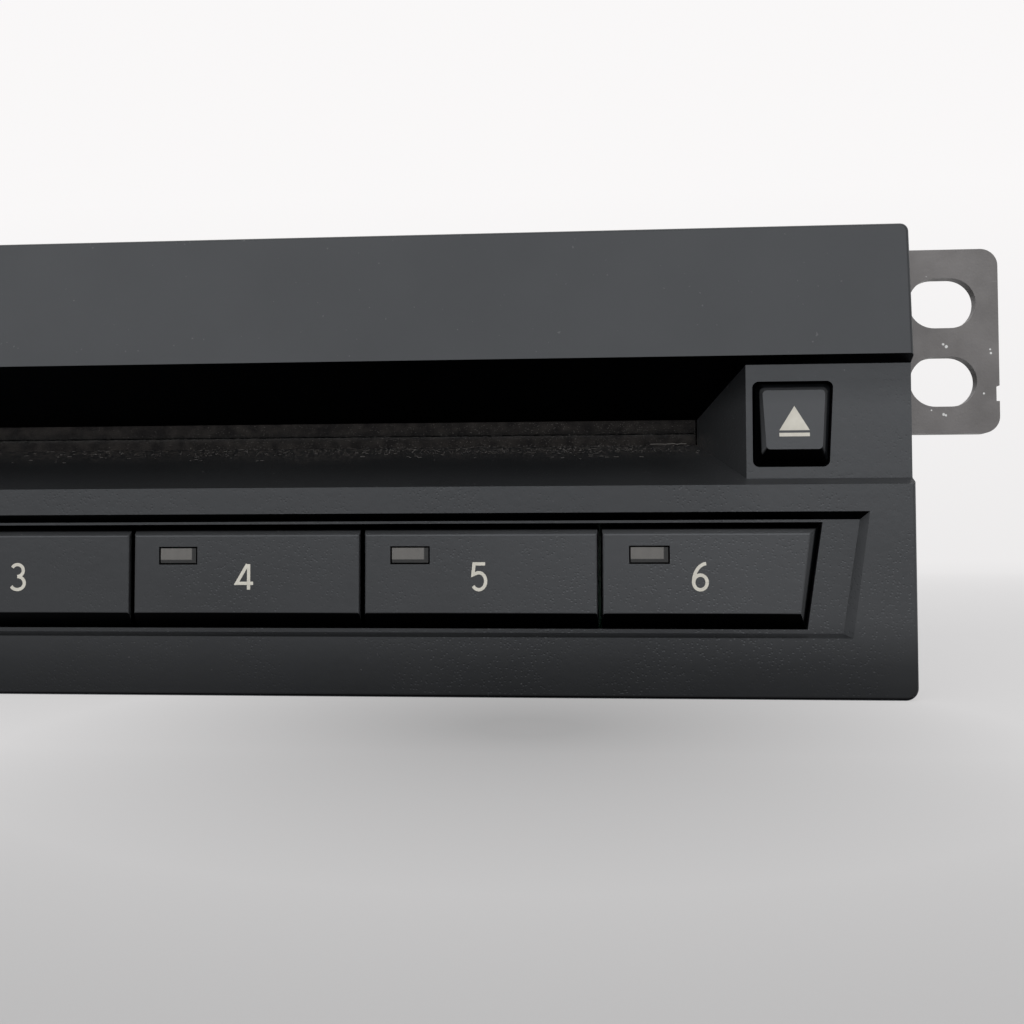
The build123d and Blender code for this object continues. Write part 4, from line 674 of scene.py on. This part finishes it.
def stroke_solid(points, half, y, ink):
    """Corner points and faces of a thin raised ribbon along a centre line."""
    lines = [Vector(point) for point in points]
    corners = []
    for i, here in enumerate(lines):
        before = lines[max(i - 1, 0)]
        after = lines[min(i + 1, len(lines) - 1)]
        first = (here - before).normalized() if i else (after - here).normalized()
        second = (after - here).normalized() if i < len(lines) - 1 else first
        along = (first + second).normalized()
        reach = half / max(along.dot(first), 1 / STROKE_REACH)
        side = Vector((-along.y, along.x)) * reach
        for edge in (here - side, here + side):
            corners += [(edge.x, y, edge.y), (edge.x, y - ink, edge.y)]
    faces = [(2, 3, 1, 0)]
    for i in range(len(lines) - 1):
        a = RIBBON_CORNERS * i
        b = a + RIBBON_CORNERS
        faces += [(a + 1, b + 1, b + 3, a + 3), (a, b, b + 1, a + 1), (a + 2, a + 3, b + 3, b + 2)]
    return corners, faces


def make_digit(number, material):
    """Raised numeral on the face of its key."""
    middle = (number - 0.5 - KEY_COUNT / 2) * KEY_PITCH
    if number in (1, KEY_COUNT):
        middle -= math.copysign(END_KEY_SHIFT, middle)
    else:
        middle += DIGIT_SHIFT
    width = DIGIT_WIDTH[number]
    corners, faces = [], []
    for level, stroke in enumerate(digit_strokes(number)):
        line = [(middle + (x - 0.5) * width, DIGIT_Z + (z - 0.5) * DIGIT_HEIGHT) for x, z in stroke]
        add_part(corners, faces, *stroke_solid(line, STROKE / 2, FRONT, INK + level * INK_STEP))
    new_piece(f"numeral_{number}", corners, faces, material, f"key_{number}")


def prism(outline, y):
    """Thin raised plate with the given outline of (x, z) points."""
    count = len(outline)
    corners = [(x, y, z) for x, z in outline] + [(x, y - INK, z) for x, z in outline]
    faces = [tuple(range(count, 2 * count))]
    faces += [(i, (i + 1) % count, count + (i + 1) % count, count + i) for i in range(count)]
    return corners, faces


def make_icon(name, side, body, material):
    """Triangle over a bar on a round-cornered cap; it points down on the loading cap."""
    middle = side * ICON_X
    tip, base = (ICON_APEX_Z, ICON_BASE_Z) if side > 0 else (ICON_BASE_Z, ICON_APEX_Z)
    triangle = [(middle - ICON_HALF, base), (middle + ICON_HALF, base), (middle, tip)]
    bar = [(middle - ICON_HALF, BAR_LOW_Z), (middle + ICON_HALF, BAR_LOW_Z)]
    bar += [(middle + ICON_HALF, BAR_HIGH_Z), (middle - ICON_HALF, BAR_HIGH_Z)]
    corners, faces = prism(triangle, FRONT)
    add_part(corners, faces, *prism(bar, FRONT))
    new_piece(name, corners, faces, material, body)


def nap_column(chance, x, root_z, up):
    """Root, belly, lip and tail of the nap at one place along a strip."""
    lip = NAP_MEET_Z - up * chance.uniform(*NAP_LIP_GAP)
    swell = chance.uniform(-NAP_SWELL, NAP_SWELL)
    front = FRONT + NAP_DEPTH
    return [
        (x, front + NAP_ROOT_DEPTH, root_z + up * NAP_ROOT_RISE),
        (x, front - NAP_BELLY + swell, (root_z + lip) / 2),
        (x, front + NAP_BELLY + swell, lip),
        (x, front + NAP_TAIL_DEPTH, lip - up * NAP_TAIL_DROP),
    ]


def make_nap(material):
    """Soft nap of the two felt strips, which meets in a thin line across the slot."""
    chance = random.Random(2)
    count = int(2 * SLOT_HALF / NAP_STEP)
    corners, faces = [], []
    for root_z, up in ((SLOT_LOW, 1), (SLOT_HIGH, -1)):
        start = len(corners)
        places = [-SLOT_HALF + 2 * SLOT_HALF * i / count for i in range(count + 1)]
        columns = [nap_column(chance, x, root_z, up) for x in places]
        rows = len(columns[0])
        for column in columns:
            corners += column
        for i in range(count):
            for row in range(rows - 1):
                a = start + rows * i + row
                faces.append((a, a + rows, a + rows + 1, a + 1))
    piece = new_piece("slot_pile", corners, faces, material, "case")
    piece.data.shade_smooth()


def make_fibres(material):
    """Short fibres that stand out of the nap."""
    chance = random.Random(4)
    half = Vector((FIBRE_WIDTH / 2, 0, 0))
    corners, faces = [], []
    for _ in range(FIBRE_COUNT):
        x = SLOT_HALF * (1 - 2 * chance.random() ** FIBRE_CROWDING)
        depth = NAP_DEPTH + chance.uniform(0, FIBRE_ROOT_DEPTH)
        root = Vector((x, FRONT + depth, chance.uniform(*FIBRE_ROOT_Z)))
        up = 1 if root.z < NAP_MEET_Z else -1
        sideways = chance.gauss(0, FIBRE_SIDE_LEAN)
        forward = -abs(chance.gauss(FIBRE_FRONT_LEAN, FIBRE_LEAN_SPREAD))
        lean = Vector((sideways, forward, up * chance.uniform(*FIBRE_RISE)))
        tip = root + lean.normalized() * FIBRE_LENGTH * chance.uniform(*FIBRE_LENGTH_SHARES)
        add_part(corners, faces, [root - half, root + half, tip], [(0, 1, 2)])
    new_piece("slot_fibres", corners, faces, material, "case")


def add_thread(corners, faces, points, half):
    """Flat thread of the given half width through the points."""
    thick = Vector((0, 0, half))
    for here, there in zip(points, points[1:]):
        add_part(corners, faces, [here - thick, here + thick, there + thick, there - thick], [(0, 1, 2, 3)])


def lint_curl(chance):
    """Points of one curl of lint on the ramp or the foot of the felt."""
    depth = chance.triangular(*LINT_DEPTHS)
    height = min(RAMP_FOOT_Z + RAMP_SLOPE * depth + LINT_LIFT, LINT_TOP_Z)
    points = [Vector((chance.uniform(-SLOT_HALF, SLOT_HALF), FRONT + depth, height))]
    turn = chance.uniform(0, math.tau)
    for _ in range(chance.randint(*LINT_STEPS)):
        turn += chance.gauss(0, LINT_CURL)
        step = Vector((math.cos(turn), LINT_DEPTH_SHARE * math.sin(turn), LINT_RISE_SHARE * math.sin(turn)))
        points.append(points[-1] + step * LINT_STEP)
    return points


def lint_speck(chance):
    """Two ends of one speck on the felt or on the ramp below it."""
    x = chance.triangular(*SPECK_X)
    on_felt = chance.random() < SPECK_FELT_SHARE
    height = chance.uniform(*(SPECK_FELT_Z if on_felt else SPECK_RAMP_Z))
    depth = SPECK_DEPTH - max(SLOT_LOW - height, 0) / RAMP_SLOPE
    here = Vector((x, FRONT + depth, height + SPECK_LIFT))
    across = chance.uniform(*SPECK_LENGTHS)
    return [here, here + Vector((across, 0, chance.uniform(-SPECK_TILT, SPECK_TILT)))]


def long_thread(chance):
    """Points of the thread that lies along the foot of the felt."""
    points = []
    for i in range(THREAD_POINTS):
        height = THREAD_Z + chance.gauss(0, THREAD_WANDER)
        points.append(Vector((THREAD_START + i * THREAD_STEP, FRONT + THREAD_DEPTH, height)))
    return points


def make_lint(material):
    """Loose pale lint caught on the felt and the ramp in front of it, and one long thread."""
    chance = random.Random(11)
    corners, faces = [], []
    for _ in range(LINT_COUNT):
        add_thread(corners, faces, lint_curl(chance), LINT_HALF)
    for _ in range(SPECK_COUNT):
        add_thread(corners, faces, lint_speck(chance), SPECK_HALF)
    add_thread(corners, faces, long_thread(chance), THREAD_HALF)
    new_piece("slot_lint", corners, faces, material, "case")


def round_edges():
    """Small rounds on the crisp edges of the mouldings and pressings."""
    for name, width in EDGE_ROUNDS.items():
        bevel = NODES[name].modifiers.new("edge_round", "BEVEL")
        bevel.width = width
        bevel.segments = EDGE_SEGMENTS
        bevel.limit_method = "ANGLE"
        bevel.angle_limit = EDGE_ANGLE
        bevel.harden_normals = True


def painted_paper_tone(tree, y, z, near_camera_shade):
    """Emission with the tone of the paper: a painted shadow under the object, painted shade toward the
    camera and painted light rising back and up.
    """
    # Painted shadow, darkest under the object
    tone = ramp(tree, distance(tree, PAINTED_SHADOW_MIDDLE), PAINTED_SHADOW_REACH, PAINTED_SHADOW_LEVELS)
    # Painted shade toward the camera
    tone = maths(tree, "SUBTRACT", tone, ramp(tree, y, CAMERA_SHADE_FALL_Y, CAMERA_SHADE_FALL))
    # Painted light, rising back and up the backdrop
    tone = maths(tree, "ADD", tone, ramp(tree, y, PAINTED_LIGHT_RISE_Y, PAINTED_LIGHT_RISE))
    tone = maths(tree, "ADD", tone, ramp(tree, z, PAINTED_LIGHT_HEIGHT, PAINTED_LIGHT_HEIGHT_RISE))
    tone = maths(tree, "MULTIPLY", tone, near_camera_shade)
    paint = tree.nodes.new("ShaderNodeCombineColor")
    for channel, share in TONE_CHANNELS.items():
        tree.links.new(maths(tree, "MULTIPLY", tone, share), paint.inputs[channel])
    return node(tree, "ShaderNodeEmission", Color=paint.outputs["Color"])


def stage_material():
    """Pale paper that shows its own tone, with painted shadow and painted light, to the camera and keeps
    the object's shadow.
    """
    material, tree, bsdf = shader("stage_paper")
    _, y, z = axes(tree)
    bsdf.inputs["Roughness"].default_value = PAPER_ROUGHNESS
    # Painted shade: the paper's colour and tone fall to 0.6 near and behind the camera
    near_camera_shade = ramp(tree, y, NEAR_CAMERA_SHADE_Y, NEAR_CAMERA_SHADE_LEVELS)
    tree.links.new(blend_colours(tree, near_camera_shade, PAINTED_SHADE_BLACK, PAPER_COLOUR), bsdf.inputs["Base Color"])
    glow = painted_paper_tone(tree, y, z, near_camera_shade)
    light = tree.nodes.new("ShaderNodeLightPath")
    seen = maths(tree, "MAXIMUM", light.outputs["Is Camera Ray"], light.outputs["Is Glossy Ray"])
    seen = maths(tree, "MAXIMUM", seen, light.outputs["Is Transmission Ray"])
    share = maths(tree, "MULTIPLY", seen, ramp(tree, y, TONE_SHARE_Y, TONE_SHARE))
    mix = node(tree, "ShaderNodeMixShader", Fac=share)
    tree.links.new(bsdf.outputs["BSDF"], mix.inputs[1])
    tree.links.new(glow.outputs["Emission"], mix.inputs[2])
    tree.links.new(mix.outputs["Shader"], tree.nodes["Material Output"].inputs["Surface"])
    return material


def make_stage():
    """Floor that curves up into a backdrop."""
    turns = [math.pi / 2 * step / BEND_STEPS for step in range(BEND_STEPS + 1)]
    profile = [(FLOOR_NEAR, 0.0)]
    profile += [(BEND_START + BEND_RADIUS * math.sin(t), BEND_RADIUS * (1 - math.cos(t))) for t in turns]
    profile.append((BEND_START + BEND_RADIUS, BACKDROP_TOP))
    points = [(x, y, z) for y, z in profile for x in (-STAGE_HALF, STAGE_HALF)]
    faces = [(2 * i, 2 * i + 1, 2 * i + 3, 2 * i + 2) for i in range(len(profile) - 1)]
    mesh = bpy.data.meshes.new("stage")
    mesh.from_pydata(points, [], faces)
    mesh.shade_smooth()
    mesh.materials.append(stage_material())
    stage = bpy.data.objects.new("stage", mesh)
    bpy.context.scene.collection.objects.link(stage)


def make_lamp(name, spot, size, watts, target):
    """Rectangular softbox turned to a target."""
    data = bpy.data.lights.new(name, "AREA")
    data.shape = "RECTANGLE"
    data.size, data.size_y = size
    data.energy = watts
    lamp = bpy.data.objects.new(name, data)
    lamp.location = spot
    lamp.rotation_mode = "QUATERNION"
    lamp.rotation_quaternion = (Vector(target) - Vector(spot)).to_track_quat("-Z", "Y")
    bpy.context.scene.collection.objects.link(lamp)


def make_lights():
    """Soft frontal studio light from above the camera, an overhead softbox and an even world."""
    for name, settings in LAMPS.items():
        make_lamp(name, *settings)
    world = bpy.data.worlds.new("studio")
    world.use_nodes = True
    background = world.node_tree.nodes["Background"]
    background.inputs["Color"].default_value = WORLD_COLOUR
    background.inputs["Strength"].default_value = WORLD_STRENGTH
    bpy.context.scene.world = world


def make_camera():
    """Camera of the photograph."""
    data = bpy.data.cameras.new("camera")
    data.lens = CAMERA_LENS
    data.sensor_width = CAMERA_SENSOR
    data.clip_start = CAMERA_CLIP
    camera = bpy.data.objects.new("camera", data)
    camera.location = CAMERA_PLACE
    camera.rotation_mode = "QUATERNION"
    forward = CAMERA_FORWARD.normalized()
    level = forward.to_track_quat("-Z", "Y")
    camera.rotation_quaternion = Quaternion(forward, CAMERA_ROLL) @ level
    bpy.context.scene.collection.objects.link(camera)
    bpy.context.scene.camera = camera


bpy.context.scene.view_settings.view_transform = "Standard"
make_camera()
make_lights()
make_stage()
finishes = make_materials()
dress(finishes)
round_edges()
legend_ink = legend("legend_ink")
for digit in range(1, KEY_COUNT + 1):
    make_digit(digit, legend_ink)
make_icon("eject_icon", 1, "eject_button", legend_ink)
make_icon("load_icon", -1, "load_button", legend_ink)
make_nap(finishes["flocking"])
make_fibres(finishes["flocking"])
make_lint(lint_material())
